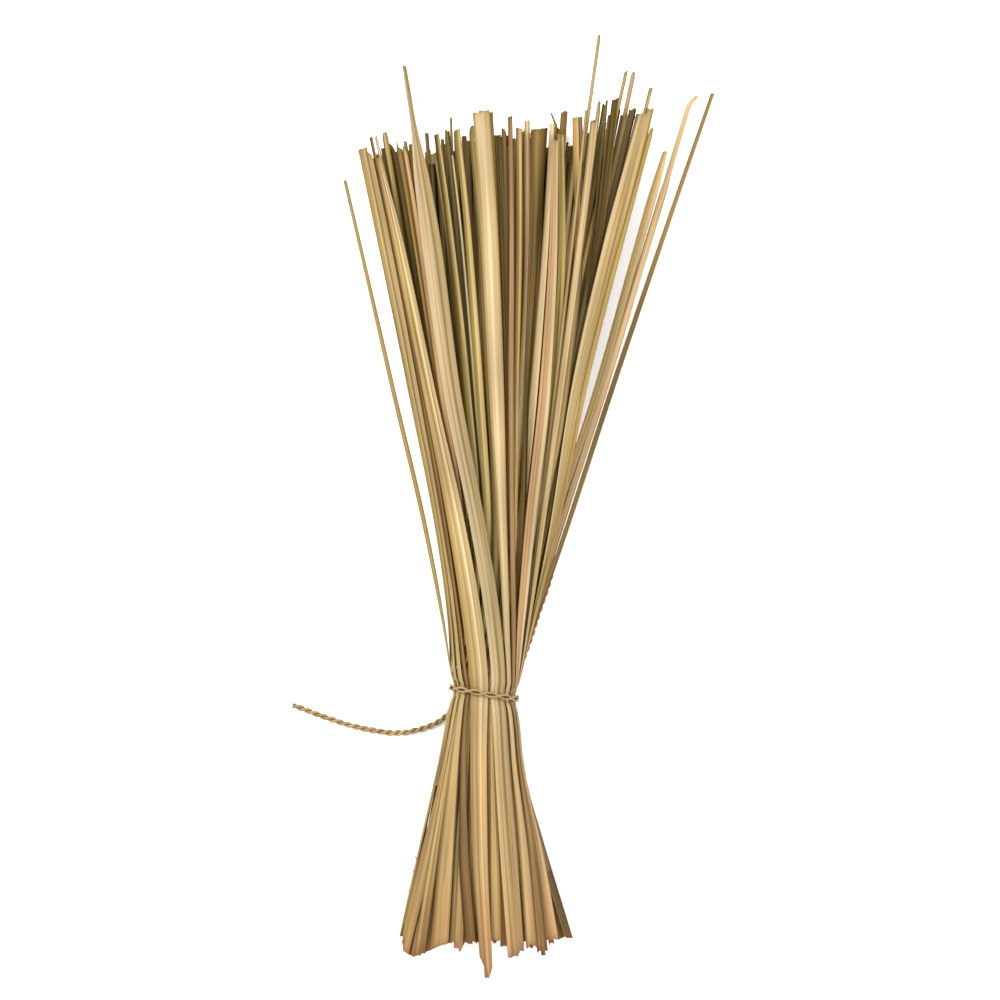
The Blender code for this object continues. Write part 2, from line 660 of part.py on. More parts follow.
def tie_knot():
    """The knot's lump under the waist, with flat sides where the cords come out."""
    block = bmesh.new()
    bmesh.ops.create_cube(block, size=1.0)
    bmesh.ops.scale(block, vec=[size * MM for size in KNOT_SIZE], verts=block.verts)
    mesh = bpy.data.meshes.new("tie_knot")
    block.to_mesh(mesh)
    block.free()
    knot = add_object("tie_knot", mesh, "cord")
    knot.location = (0.0, TIE_Y * MM, KNOT_CENTRE_Z * MM)
    knot.rotation_euler = (0.0, 0.0, math.atan(TIE_SLANT))
    rounding = knot.modifiers.new("Rounded lump", "BEVEL")
    rounding.width = KNOT_ROUNDING * MM
    rounding.segments = 2
    return knot


def centre_on_footprint(members):
    """Moves the bunch so that the frame's origin is at the middle of its footprint."""
    bpy.context.view_layer.update()
    graph = bpy.context.evaluated_depsgraph_get()
    lows, highs = [], []
    for obj in members:
        shape = obj.evaluated_get(graph)
        mesh = shape.to_mesh()
        places = np.array([shape.matrix_world @ vert.co for vert in mesh.vertices])
        lows.append(places.min(axis=0))
        highs.append(places.max(axis=0))
        shape.to_mesh_clear()
    middle = (np.min(lows, axis=0) + np.max(highs, axis=0)) / 2
    BUNCH.location = (-middle[0], -middle[1], 0.0)


def build():
    dice = random.Random(7)
    members = []
    strays = [SideStray(*row) for row in SIDE_STRAYS]
    for layer, table in enumerate((OUTER_FRONT, SECOND_FRONT, THIRD_FRONT)):
        rows = [FrontBlade(*row) for row in table]
        members += front_blades(rows, lambda row: front_plan(row, layer), dice)
        if layer == 0:
            members += front_blades(strays, stray_plan, dice)
    for values in UNDER_GROUPS:
        group = UnderGroup(*values)
        members += [under_blade(group, i, dice) for i in range(group.count)]
    members.append(inner_grass(dice))
    members.append(tie_ring())
    members.append(tie_knot())
    centre_on_footprint(members)
    cord_object("cord_tail_left", even_points(TAIL_LEFT, TAIL_STEP))
    cord_object("cord_tail_right", even_points(TAIL_RIGHT, TAIL_STEP))


clear_scene()
PARTS = bpy.data.collections.new("bunch_of_dried_grass")
bpy.context.scene.collection.children.link(PARTS)
GUIDES = bpy.data.collections.new("guides")
bpy.context.scene.collection.children.link(GUIDES)
BUNCH = bpy.data.objects.new("bunch", None)
PARTS.objects.link(BUNCH)
build()
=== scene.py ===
"""Bunch of dried grass, tied with a twisted straw cord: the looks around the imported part.

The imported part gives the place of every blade. This file puts a finer leaf in the place of each
plain blade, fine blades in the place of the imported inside, and twisted cord in the place of the
plain tubes. X runs across the bunch, +Y from the tie to the tips, +Z up; lengths are in metres.
"""

import json
import math

import bpy
import numpy as np
from bpy.props import FloatProperty, FloatVectorProperty, IntProperty, PointerProperty
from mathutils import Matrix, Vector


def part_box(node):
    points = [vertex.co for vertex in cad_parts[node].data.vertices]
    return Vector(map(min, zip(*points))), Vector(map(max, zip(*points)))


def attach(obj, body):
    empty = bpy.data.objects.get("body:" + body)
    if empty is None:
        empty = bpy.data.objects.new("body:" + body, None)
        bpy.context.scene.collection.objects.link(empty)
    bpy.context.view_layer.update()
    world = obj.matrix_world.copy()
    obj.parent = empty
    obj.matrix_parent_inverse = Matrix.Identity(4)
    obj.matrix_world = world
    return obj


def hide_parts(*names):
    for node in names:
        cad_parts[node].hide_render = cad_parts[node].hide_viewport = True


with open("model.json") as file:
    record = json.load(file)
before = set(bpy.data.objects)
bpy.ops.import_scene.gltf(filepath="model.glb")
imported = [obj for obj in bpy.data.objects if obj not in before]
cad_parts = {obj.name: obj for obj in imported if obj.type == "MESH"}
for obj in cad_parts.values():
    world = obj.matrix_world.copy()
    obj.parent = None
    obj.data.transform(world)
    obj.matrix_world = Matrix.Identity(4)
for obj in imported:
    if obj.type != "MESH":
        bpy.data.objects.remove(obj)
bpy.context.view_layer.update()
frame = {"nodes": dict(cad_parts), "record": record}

bl_info = {
    "name": "Bunch of dried grass",
    "version": (1, 0, 0),
    "blender": (4, 5, 0),
    "location": "3D View > Sidebar > Dried grass",
    "description": "Makes a tied bunch of dried grass from its packed blades",
    "category": "Add Mesh",
}

MM = 0.001
FLOOR_GAP = 0.02 * MM
SLOTS = {part["node"]: part["material_slot"] for part in frame["record"]["subparts"]}

# The layout's own zero: on the floor, 2.2 mm towards the butts from the middle of the plain knot
KNOT_LOW, KNOT_HIGH = (np.array(corner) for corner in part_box("tie_knot"))
KNOT_CENTRE = (KNOT_LOW + KNOT_HIGH) / 2
TIE_Y = 2.2 * MM
LAYOUT_ZERO = np.array([KNOT_CENTRE[0], KNOT_CENTRE[1] - TIE_Y, 0.0])

# The photograph's frame, seen from straight above: 1000 pixels square, each 0.65 mm at the height
# of the front blades
FRAME_WIDTH = 0.65
FRAME_MIDDLE = LAYOUT_ZERO[:2] + np.array([10.4, 128.05]) * MM
SEEN_HEIGHT = 0.045
FLOOR_SIZE = 8.0

# Routes of the cord's free ends from the knot outwards, in metres from the layout's zero
TAIL_LEFT = (
    (-0.0074, 0.0035, 0.0033), (-0.0110, 0.0035, 0.0031), (-0.0144, 0.0018, 0.0026),
    (-0.0174, -0.0026, 0.0022), (-0.0204, -0.0078, 0.0020), (-0.0240, -0.0127, 0.0020),
    (-0.0284, -0.0162, 0.0020), (-0.0340, -0.0194, 0.0020), (-0.0434, -0.0226, 0.0020),
    (-0.0516, -0.0242, 0.0020), (-0.0606, -0.0246, 0.0020), (-0.0702, -0.0234, 0.0020),
    (-0.0793, -0.0216, 0.0020), (-0.0886, -0.0194, 0.0020), (-0.0986, -0.0162, 0.0020),
    (-0.1088, -0.0126, 0.0020), (-0.1176, -0.0092, 0.0020), (-0.1258, -0.0064, 0.0020),
)
TAIL_RIGHT = (
    (0.0074, 0.0009, 0.0033), (0.0110, 0.0013, 0.0031), (0.0148, 0.0038, 0.0026),
    (0.0184, 0.0088, 0.0022), (0.0220, 0.0158, 0.0020), (0.0256, 0.0244, 0.0020),
    (0.0292, 0.0344, 0.0020), (0.0324, 0.0440, 0.0020), (0.0352, 0.0532, 0.0020),
    (0.0384, 0.0624, 0.0020), (0.0412, 0.0704, 0.0020), (0.0434, 0.0782, 0.0020),
    (0.0450, 0.0854, 0.0020), (0.0462, 0.0914, 0.0020),
)

# How each front blade is dressed: the tone of its body and its level, edge tones left and right
# (partly the leaf's own edge colours, partly painted shade and light on its two sides), how strong
# the painted highlight along its ridge is, how sharp its fold, and the forms of its tip and its butt
FRONT_LOOKS = {
    "blade_left_stray": ("gold", 1.1, "gold", "tan", 0.2, 2.0, "blunt", "cut"),
    "blade_left_gold_edge": ("tan", 1.05, "gold", "gold", 0.2, 1.6, "cut", "outline"),
    "blade_left_tan": ("tan", 1.05, "olive", "pale", 0.4, 1.5, "cut", "outline"),
    "blade_left_reddish": ("rust", 0.9, "brown", "gold", 0.2, 1.8, "cut", "outline"),
    "blade_bright_ridge": ("tan", 1.15, "gold", "pale", 1.25, 1.15, "cut", "spike"),
    "blade_long_light": ("pale", 0.86, "cream", "tan", 0.3, 1.4, "blunt", "torn"),
    "blade_bright_centre": ("pale", 0.98, "tan", "gold", 1.0, 1.2, "notch", "torn"),
    "blade_reddish_mid": ("peach", 0.72, "rust", "olive", 0.2, 1.8, "cut", "torn"),
    "blade_peach": ("peach", 0.95, "peach", "cream", 0.5, 1.6, "cut", "cut"),
    "blade_right_strip": ("pale", 0.95, "gold", "cream", 0.6, 1.4, "cut", "torn"),
    "blade_right_broad_gold": ("tan", 1.05, "cream", "gold", 0.5, 1.5, "jagged", "slant"),
    "blade_right_cut": ("tan", 1.2, "gold", "cream", 0.2, 1.4, "narrow", "cut"),
    "blade_right_pale_stray": ("peach", 1.15, "pale", "pale", 0.3, 1.8, "bent", "cut"),
    "blade_right_gold_stray": ("gold", 1.15, "gold", "tan", 0.3, 1.8, "cut", "cut"),
    "blade_olive_left": ("olive", 1.0, "brown", "gold", 0.3, 1.8, "round", "outline"),
    "blade_reddish_thin": ("rust", 1.3, "brown", "peach", 0.3, 1.8, "point", "outline"),
    "blade_olive_mid": ("olive", 1.1, "brown", "pale", 0.3, 1.6, "cut", "outline"),
    "blade_tan_mid": ("olive", 1.35, "olive", "tan", 0.3, 1.6, "cut", "outline"),
    "blade_olive_bent": ("olive", 1.0, "olive", "gold", 0.4, 1.6, "bent", "outline"),
    "blade_dark_centre": ("brown", 1.2, "brown", "gold", 0.2, 1.8, "cut", "torn"),
    "blade_tan_centre": ("olive", 1.6, "rust", "gold", 0.4, 1.5, "cut", "cut"),
    "blade_wide_brown": ("brown", 1.0, "rust", "brown", 0.1, 1.4, "cut", "slant"),
    "blade_tan_olive": ("olive", 1.5, "olive", "tan", 0.3, 1.6, "cut", "torn"),
    "blade_orange_brown": ("gold", 1.35, "gold", "pale", 0.2, 1.5, "cut", "cut"),
    "blade_right_brown": ("brown", 1.0, "brown", "gold", 0.1, 1.6, "cut", "cut"),
    "blade_brown_curl": ("brown", 1.2, "brown", "gold", 0.3, 1.8, "bent", "outline"),
    "blade_pointed_light": ("pale", 0.8, "tan", "peach", 0.5, 1.8, "point", "outline"),
    "blade_dark_olive": ("olive", 0.8, "olive", "brown", 0.2, 1.6, "cut", "outline"),
    "blade_grey_tan": ("tan", 0.8, "tan", "olive", 0.4, 1.8, "cut", "outline"),
    "blade_tan_brown": ("gold", 0.9, "gold", "brown", 0.3, 1.8, "round", "cut"),
    "blade_golden": ("pale", 1.35, "gold", "tan", 0.5, 1.8, "cut", "torn"),
    "blade_pale_strip": ("pale", 1.6, "tan", "cream", 0.6, 1.8, "torn", "cut"),
    "blade_long_stray": ("tan", 1.0, "tan", "gold", 0.3, 1.8, "round", "cut"),
    "blade_stray_up_gold": ("gold", 1.0, "gold", "brown", 0.3, 1.8, "cut", "cut"),
    "blade_stray_up_tan": ("tan", 1.1, "peach", "gold", 0.3, 1.8, "round", "cut"),
}

# A look with nothing of its own: how far the edge tones reach in as a share of the blade, or None
# for a narrow line; level and width of the half below the tie, and width past it, as shares; a dip
# in the width as its share, distance from the tip and reach in mm; which way and how far a bent tip
# turns; how much it is ribbed, waved and curled; and its least count of columns
PLAIN_LOOK = {
    "edge_reach": None,
    "butt_level": 1.0,
    "butt_wide": 1.0,
    "tip_wide": 1.0,
    "waisted": (0.0, 0.0, 1.0),
    "bend": 1.0,
    "ribbed": 1.0,
    "waved": 1.0,
    "curl": 0.05,
    "least_columns": 13,
}
FRONT_BUTT_WIDE = 1.45

# What sets single blades apart from that. The painted highlight along the ridge has its own entry:
# where it lies across at the butt and at the tip, from -1, left, to 1, and its width as a share of
# the half blade.
OWN_LOOKS = {
    "blade_left_stray": {"tip_wide": 1.45, "butt_wide": 1.6, "butt_level": 0.42},
    "blade_left_gold_edge": {"tip_wide": 1.25, "butt_wide": 1.7, "butt_level": 1.15, "edge_reach": 0.6},
    "blade_left_tan": {"tip_wide": 1.6},
    "blade_left_reddish": {"tip_wide": 1.6},
    "blade_bright_ridge": {"ridge_highlight_at": (0.30, 0.15, 0.13), "butt_wide": 1.1},
    "blade_long_light": {
        "ridge_highlight_at": (-0.45, -0.3, 0.30), "butt_wide": 1.2, "edge_reach": 0.45, "waisted": (0.40, 36.0, 22.0)
    },
    "blade_bright_centre": {"ridge_highlight_at": (-0.4, 0.05, 0.20)},
    "blade_peach": {"ridge_highlight_at": (0.5, 0.4, 0.30), "butt_level": 1.1, "edge_reach": 0.8},
    "blade_right_strip": {"butt_level": 0.42},
    "blade_right_broad_gold": {"ridge_highlight_at": (-0.5, -0.7, 0.22), "tip_wide": 1.12, "butt_level": 0.45},
    "blade_right_cut": {"ridge_highlight_at": (0.6, 0.5, 0.30), "tip_wide": 0.92, "edge_reach": 0.6},
    "blade_right_pale_stray": {"tip_wide": 1.9, "butt_wide": 1.0},
    "blade_right_gold_stray": {"tip_wide": 1.4, "butt_wide": 1.0},
    "blade_olive_left": {"tip_wide": 1.2},
    "blade_reddish_thin": {"tip_wide": 1.5},
    "blade_olive_bent": {"bend": 0.55},
    "blade_orange_brown": {"edge_reach": 0.6},
    "blade_brown_curl": {"tip_wide": 1.3, "bend": -0.7},
    "blade_golden": {"tip_wide": 1.15},
    "blade_long_stray": {"tip_wide": 1.25},
    "blade_stray_up_gold": {"tip_wide": 1.3},
    "blade_stray_up_tan": {"tip_wide": 1.15},
}

# The line that the butts at the left end on, as X and Y from the layout's zero in mm: a shallow
# curve with one tooth
BUTT_OUTLINE = (
    (-54.0, -146.0),
    (-52.3, -160.0),
    (-50.7, -165.8),
    (-43.6, -169.7),
    (-37.0, -165.8),
    (-28.6, -161.2),
    (-18.4, -158.8),
    (-15.6, -166.0),
    (-12.2, -158.5),
    (-7.8, -158.0),
    (-1.0, -160.5),
)

# How far a bent tip turns aside, and over what length
BENT_REACH = 3.4 * MM
BENT_LENGTH = 7.0 * MM

# Forms that the ends of blades take by chance, where no table gives them
UNDER_ENDS = ("cut", "torn", "slant", "round", "cut")

# Inner blades whose tips show between the front ones: tip's X and Y from the layout's zero and
# width there, in mm, tone and form
SHOWN_INNER_TIPS = (
    (-47.0, 359.0, 2.2, "brown", "cut"),
    (-30.2, 365.0, 2.4, "olive", "round"),
    (-36.4, 366.0, 2.6, "olive", "cut"),
    (-41.5, 352.0, 3.4, "olive", "torn"),
    (-34.0, 346.0, 4.0, "brown", "cut"),
    (-26.4, 362.0, 2.2, "olive", "cut"),
    (-24.0, 368.0, 2.2, "brown", "round"),
    (-20.8, 376.0, 1.6, "gold", "cut"),
    (-18.0, 367.5, 2.4, "tan", "torn"),
    (-12.5, 364.0, 3.4, "olive", "torn"),
    (3.6, 378.0, 1.6, "brown", "cut"),
    (6.4, 364.0, 3.2, "brown", "torn"),
    (12.4, 369.0, 2.2, "gold", "torn"),
    (20.2, 362.0, 2.4, "brown", "cut"),
    (26.5, 368.0, 3.0, "gold", "round"),
    (43.8, 372.0, 2.2, "brown", "torn"),
    (46.0, 379.0, 1.8, "gold", "bent"),
    (50.8, 380.5, 4.6, "gold", "torn"),
    (60.2, 374.0, 2.8, "pale", "cut"),
    (65.8, 379.0, 2.0, "olive", "cut"),
    (75.2, 385.5, 3.2, "olive", "torn"),
)

# Blades that lie under a front blade and come out beside it at one end: the front one, that end's X
# and Y from the layout's zero and the width there, in mm, tone, level and the tip's form. A Y below
# zero is a butt's. The other end lies under the front blade's.
BETWEEN_BLADES = (
    ("blade_bright_ridge", -70.2, 364.0, 2.6, "cream", 0.95, "cut"),
    ("blade_left_tan", -75.2, 353.6, 3.4, "tan", 0.95, "cut"),
    ("blade_left_tan", -72.0, 350.0, 2.8, "olive", 1.5, "cut"),
    ("blade_left_reddish", -69.8, 352.0, 3.0, "tan", 0.9, "cut"),
    ("blade_olive_left", -65.6, 357.0, 3.0, "brown", 1.0, "torn"),
    ("blade_olive_left", -61.0, 352.0, 2.8, "gold", 0.8, "cut"),
    ("blade_brown_curl", -57.0, 362.5, 2.4, "pale", 0.85, "point"),
    ("blade_brown_curl", -58.0, 354.0, 3.4, "brown", 1.2, "torn"),
    ("blade_reddish_thin", -54.4, 356.0, 3.0, "gold", 0.95, "cut"),
    ("blade_reddish_thin", -51.0, 360.5, 2.6, "tan", 0.95, "cut"),
    ("blade_reddish_thin", -48.6, 354.5, 2.8, "peach", 0.8, "cut"),
    ("blade_reddish_thin", -46.2, 358.6, 2.4, "brown", 0.8, "cut"),
    ("blade_olive_mid", -32.0, 354.0, 1.5, "cream", 0.95, "point"),
    ("blade_tan_mid", -20.4, 351.0, 1.7, "cream", 1.0, "cut"),
    ("blade_tan_mid", -15.6, 357.0, 2.6, "gold", 0.7, "cut"),
    ("blade_bright_centre", 4.6, 378.4, 2.6, "brown", 1.3, "cut"),
    ("blade_dark_centre", 6.8, 358.0, 1.5, "cream", 0.85, "point"),
    ("blade_dark_centre", 9.6, 364.0, 2.4, "brown", 0.8, "cut"),
    ("blade_tan_centre", 17.0, 369.0, 2.2, "gold", 0.9, "cut"),
    ("blade_wide_brown", 36.5, 367.5, 3.2, "tan", 0.75, "cut"),
    ("blade_orange_brown", 62.4, 376.0, 2.8, "pale", 0.8, "cut"),
    ("blade_right_strip", 66.2, 380.0, 1.9, "tan", 1.0, "cut"),
    ("blade_right_strip", 70.4, 373.6, 3.0, "pale", 0.85, "cut"),
    ("blade_right_strip", 74.6, 386.0, 3.0, "olive", 1.2, "round"),
    ("blade_right_brown", 79.6, 387.2, 1.8, "brown", 0.9, "cut"),
    ("blade_right_brown", 82.0, 378.0, 3.6, "rust", 0.9, "cut"),
    ("blade_stray_up_tan", 87.4, 382.6, 3.4, "olive", 0.9, "cut"),
    ("blade_stray_up_tan", 91.4, 380.0, 4.6, "brown", 0.9, "torn"),
    ("blade_right_broad_gold", 92.4, 378.0, 4.6, "tan", 0.7, "torn"),
    ("blade_right_broad_gold", 97.0, 383.0, 5.2, "brown", 1.0, "torn"),
    ("blade_right_broad_gold", 100.4, 379.0, 3.4, "peach", 0.9, "cut"),
    ("blade_right_broad_gold", 108.6, 396.0, 2.8, "gold", 1.2, "cut"),
    ("blade_right_broad_gold", 109.4, 370.0, 3.4, "gold", 1.2, "round"),
    ("blade_right_cut", 122.0, 346.0, 4.6, "peach", 1.15, "point"),
    ("blade_left_gold_edge", -51.4, -162.0, 5.6, "tan", 1.1, "cut"),
    ("blade_left_gold_edge", -46.6, -167.0, 3.4, "olive", 0.9, "cut"),
    ("blade_left_tan", -43.4, -168.0, 4.6, "pale", 0.85, "cut"),
    ("blade_left_tan", -40.4, -166.5, 4.8, "gold", 0.95, "cut"),
    ("blade_under_10", -50.6, -156.0, 5.0, "olive", 0.9, "cut"),
    ("blade_olive_left", -38.4, -165.0, 4.6, "peach", 0.9, "cut"),
    ("blade_olive_left", -33.8, -162.5, 4.2, "tan", 0.9, "cut"),
    ("blade_olive_mid", -26.0, -159.5, 4.4, "gold", 1.0, "cut"),
    ("blade_tan_mid", -19.0, -158.0, 3.6, "tan", 0.9, "cut"),
    ("blade_bright_centre", 24.0, -163.0, 4.0, "tan", 1.0, "cut"),
    ("blade_reddish_mid", 30.0, -161.0, 4.0, "peach", 0.9, "cut"),
    ("blade_right_cut", 39.0, -170.0, 3.6, "pale", 0.9, "cut"),
    ("blade_right_cut", 44.6, -163.5, 4.6, "pale", 1.0, "cut"),
    ("blade_right_broad_gold", 50.6, -159.0, 5.6, "rust", 1.15, "cut"),
)

# How far below the front blade they lie, far from the tie and at it, the share of the front
# blade's slope that they keep, and the widths in mm at the tie and at the end that isn't given
UNDER_FRONT = 2.0 * MM
UNDER_FRONT_AT_TIE = 1.1 * MM
BETWEEN_FLATTER = 0.4
BETWEEN_WIDTH_AT_TIE = 2.6
BETWEEN_OTHER_TIP, BETWEEN_OTHER_BUTT = 2.6, 3.2

# Barbs and hairs on the left edge of a blade: the blade, the foot's Y from the layout's zero, and
# the way from the foot to the end across and along, in mm
BARBS = (
    ("blade_left_stray", 320.0, -1.4, 2.0),
    ("blade_left_stray", 278.0, -1.4, 1.4),
    ("blade_left_stray", 225.0, -1.4, 1.8),
    ("blade_under_10", -106.5, -2.4, 2.4),
    ("blade_under_10", -114.5, -2.0, 1.6),
    ("blade_under_10", -127.6, -1.6, 0.3),
)

# How far below the tie the leaves take on their warmer tone
BUTT_HALF_FADE = 50.0 * MM

# The imported inside: rings of blades, as a share of its outline, a count of blades and a tone
# level, lower for the deeper rings as painted shade inside the bunch
INNER_RINGS = (
    (0.965, 62, 0.90),
    (0.90, 56, 0.62),
    (0.80, 46, 0.44),
    (0.66, 36, 0.38),
    (0.50, 27, 0.34),
    (0.33, 17, 0.32),
    (0.15, 7, 0.32),
)
INNER_TONES = ("olive", "brown", "gold", "brown", "tan", "olive", "gold", "gold", "peach")
OUTER_RINGS = 2

# Where the inner tips end, from the layout's zero, and how much further on to the right; and where
# the inner butts end
TIP_LINE, TIP_LINE_SLANT = 364.0 * MM, 0.13
BUTT_LINE = -158.0 * MM

# Start of the random draws of each piece or group of blades
SEEDS = {
    "cord_tail_left": 3,
    "cord_tail_right": 4,
    "tie_ring": 5,
    "tie_knot": 6,
    "front": 11,
    "under": 12,
    "inner": 13,
    "between": 14,
    "barbs": 15,
}


def colour_setting(name, description, colour):
    """A colour that the user can change."""
    return FloatVectorProperty(name=name, description=description, subtype="COLOR", default=colour)


def length_setting(name, description, metres):
    """A length that the user can change."""
    return FloatProperty(name=name, description=description, default=metres, unit="LENGTH")


class StrawColours(bpy.types.PropertyGroup):
    """The tones of the dry leaf, as linear colours."""

    # Cream is a bleached leaf tone, and also the colour of the painted highlight along the ridges
    cream: colour_setting("Cream", "Bleached ridge", (0.435, 0.338, 0.195))
    pale: colour_setting("Pale straw", "Bleached leaf", (0.325, 0.241, 0.112))
    tan: colour_setting("Tan", "Ordinary dry leaf", (0.245, 0.168, 0.062))
    gold: colour_setting("Gold", "Golden brown leaf", (0.205, 0.126, 0.030))
    peach: colour_setting("Peach", "Pale reddish leaf", (0.305, 0.176, 0.080))
    olive: colour_setting("Olive", "Greyed green leaf", (0.136, 0.099, 0.023))
    brown: colour_setting("Brown", "Dark weathered leaf", (0.050, 0.029, 0.004))
    rust: colour_setting("Rust", "Dark reddish leaf and cut butts", (0.150, 0.074, 0.028))
    butt_half: colour_setting("Butt half", "Leaves below the tie", (0.190, 0.120, 0.047))
    cord: colour_setting("Cord", "Twisted straw cord", (0.29, 0.19, 0.084))
    # Painted shade where the plies of the cord press together
    cord_groove: colour_setting("Cord grooves", "Between the plies", (0.055, 0.026, 0.006))


class BladeSizes(bpy.types.PropertyGroup):
    """Sizes that every blade of grass follows."""

    thickness: length_setting("Thickness", "Leaf thickness at its middle", 0.45 * MM)
    edge_thickness: length_setting("Edge thickness", "Leaf thickness at its edges", 0.14 * MM)
    rib_spacing: length_setting("Rib spacing", "Distance from rib to rib", 1.5 * MM)
    rib_depth: length_setting("Rib depth", "Height of a rib", 0.10 * MM)
    wave: length_setting("Wave", "How far a blade waves along its length", 0.12 * MM)
    streak_width: length_setting("Streak width", "Width of a lengthwise streak", 0.9 * MM)
    inner_width: length_setting("Inner width", "Usual width of an inner blade", 5.4 * MM)
    rows: IntProperty(name="Rows", description="Steps along a blade", default=84, min=12)
    inner_rows: IntProperty(name="Inner rows", description="Steps along an inner blade", default=11, min=8)


class CordSizes(bpy.types.PropertyGroup):
    """Sizes of the twisted cord."""

    diameter: length_setting("Diameter", "Across both plies", 3.9 * MM)
    tail_pitch: length_setting("Pitch of the free ends", "Length of one full turn", 11 * MM)
    ring_pitch: length_setting("Pitch round the waist", "Length of one full turn", 20 * MM)
    fibre_depth: FloatProperty(
        name="Fibre depth", description="Share of a ply's radius", default=0.09, subtype="FACTOR"
    )


class StageSettings(bpy.types.PropertyGroup):
    """Camera and light."""

    camera_height: length_setting("Camera height", "Above the floor", 5.0)
    floor_colour: colour_setting("Floor", "Plain pale floor", (0.96, 0.955, 0.95))
    key_power: FloatProperty(name="Key light", description="Watts from the upper left", default=30.0)
    fill_power: FloatProperty(name="Fill light", description="Watts from the right", default=9.0)
    room_light: FloatProperty(name="Room light", description="Even light from all round", default=1.7)


def distances(line):
    """How far along a line each of its points lies: the sum of the steps before it."""
    return np.concatenate([[0.0], np.cumsum(np.linalg.norm(np.diff(line, axis=0), axis=1))])


def places_at(line, knots, at):
    """Places on a line at these values of its knots, straight between two of its points."""
    return np.stack([np.interp(at, knots, line[:, k]) for k in range(3)], axis=-1)


def smooth_curves(knots, values, at):
    """Smooth curves through the values that don't overshoot them: between two knots a cubic, with
    each slope the harmonic mean of the straight slopes beside its knot."""
    steps = np.diff(knots)[:, None]
    rates = np.diff(values, axis=0) / steps
    before, after = rates[:-1], rates[1:]
    agree = before * after > 0
    means = np.where(agree, 2 * before * after / np.where(agree, before + after, 1.0), 0.0)
    slopes = np.concatenate([rates[:1], means, rates[-1:]])
    i = np.clip(np.searchsorted(knots, at, side="right") - 1, 0, len(steps) - 1)
    h = steps[i]
    t = (at - knots[i])[..., None] / h
    return (
        (1 + 2 * t) * (1 - t) ** 2 * values[i]
        + t * (1 - t) ** 2 * h * slopes[i]
        + t * t * (3 - 2 * t) * values[i + 1]
        + t * t * (t - 1) * h * slopes[i + 1]
    )


def smoothstep(value, start, end):
    """0 up to the start and 1 past the end; between them 3 t squared less 2 t cubed."""
    t = np.clip((value - start) / (end - start), 0.0, 1.0)
    return t * t * (3 - 2 * t)


def unit(vectors):
    """Each vector over its own length."""
    return vectors / np.linalg.norm(vectors, axis=-1, keepdims=True)


def toward(colour, other, share):
    """A colour, this share of the way to another."""
    return colour + (other - colour) * share


def mesh_places(node):
    """Every place in a CAD node's mesh once, to a thousandth of a millimetre."""
    mesh = frame["nodes"][node].data
    places = np.empty(len(mesh.vertices) * 3, np.float32)
    mesh.vertices.foreach_get("co", places)
    return np.unique(np.round(places.reshape(-1, 3).astype(float), 6), axis=0)


# The gap along a blade that parts one station from the next
STATION_GAP = 4 * MM


def blade_track(node):
    """How far along its ridge each station of a CAD blade lies, butt to tip, and the left edge,
    ridge and right edge there.

    A station is a group of places with no larger gap than this along Y. Across it runs the
    direction in which the group is longest; the edges are the means of its outer quarters, and the
    ridge the mean of the rest. Left and right are named at the tip."""
    places = mesh_places(node)
    places = places[np.argsort(places[:, 1])]
    breaks = np.flatnonzero(np.diff(places[:, 1]) > STATION_GAP) + 1
    stations, before = [], np.array([1.0, 0.0])
    for group in np.split(places, breaks):
        section = group[:, [0, 2]]
        middle = (section.max(axis=0) + section.min(axis=0)) / 2
        _, _, axes = np.linalg.svd(section - section.mean(axis=0))
        across = axes[0] * (1.0 if axes[0] @ before >= 0 else -1.0)
        place = (section - middle) @ across
        share = (place - place.min()) / np.ptp(place)
        left, right = group[share < 0.25].mean(axis=0), group[share > 0.75].mean(axis=0)
        rest = group[(share >= 0.25) & (share <= 0.75)]
        ridge = rest.mean(axis=0) if len(rest) else (left + right) / 2
        stations.append(np.concatenate([left, ridge, right]))
        before = across
    track = np.array(stations)
    if track[-1, 0] > track[-1, 6]:
        track = track[:, [6, 7, 8, 3, 4, 5, 0, 1, 2]]
    return distances(track[:, 3:6]), track


def end_profile(form, t, width, dice):
    """How far each column of a blade stops short of its end, the share of its width that the end
    narrows to, and over what length, by the end's form.

    Every end has small steps, and a cut or an outline has those alone. A slant leans to one side
    and a torn end has teeth. A point has a V, a narrow end a slight one, and a round or a bent end
    an arc. A notch has a dent and a shorter left lobe, a jagged end a dent and a lean, and a
    spike a long V off the middle. Point, narrow, round, bent and blunt ends narrow as well."""
    short = 0.07 * width * dice.uniform(0.0, 1.0, len(t))
    taper, taper_length = 1.0, 0.0
    if form == "slant":
        short = short + width * 0.35 * (t + 1) / 2 * dice.choice((-1.0, 1.0))
    elif form == "torn":
        teeth = np.interp(t, np.linspace(-1, 1, 6), dice.uniform(0.0, 1.0, 6))
        short = width * 0.6 * teeth + short
    elif form == "point":
        taper, taper_length = 0.12, 2.2 * width
        short = short + 0.5 * width * np.abs(t)
    elif form == "narrow":
        taper, taper_length = 0.5, 5.0 * width
        short = short + 0.15 * width * np.abs(t)
    elif form in ("round", "bent"):
        taper, taper_length = 0.68, 0.35 * width
        short = short + 0.25 * width * t * t
    elif form == "blunt":
        taper, taper_length = 0.85, 0.2 * width
    elif form == "notch":
        short = short + 0.09 * width * np.exp(-((t / 0.12) ** 2)) + 0.08 * width * (t < 0)
    elif form == "jagged":
        short = short + 0.30 * width * np.exp(-(((t - 0.1) / 0.16) ** 2)) - 0.2 * width * t
    elif form == "spike":
        short = short + 1.5 * width * np.abs(t - 0.35)
    return short - short.min(), taper, taper_length


def end_on_outline(short, station, wide, t):
    """How far each column of a blade stops short of its butt, so that it ends on the outline of
    the butts: that outline's Y at the column's X, less the butt's own Y."""
    across = station[6] - station[0]
    x = station[0] + across * wide * t / 2
    x = x + across / 2 - LAYOUT_ZERO[0]
    line_x, line_y = np.array(BUTT_OUTLINE).T * MM
    return short + np.interp(x, line_x, line_y) + LAYOUT_ZERO[1] - station[4]


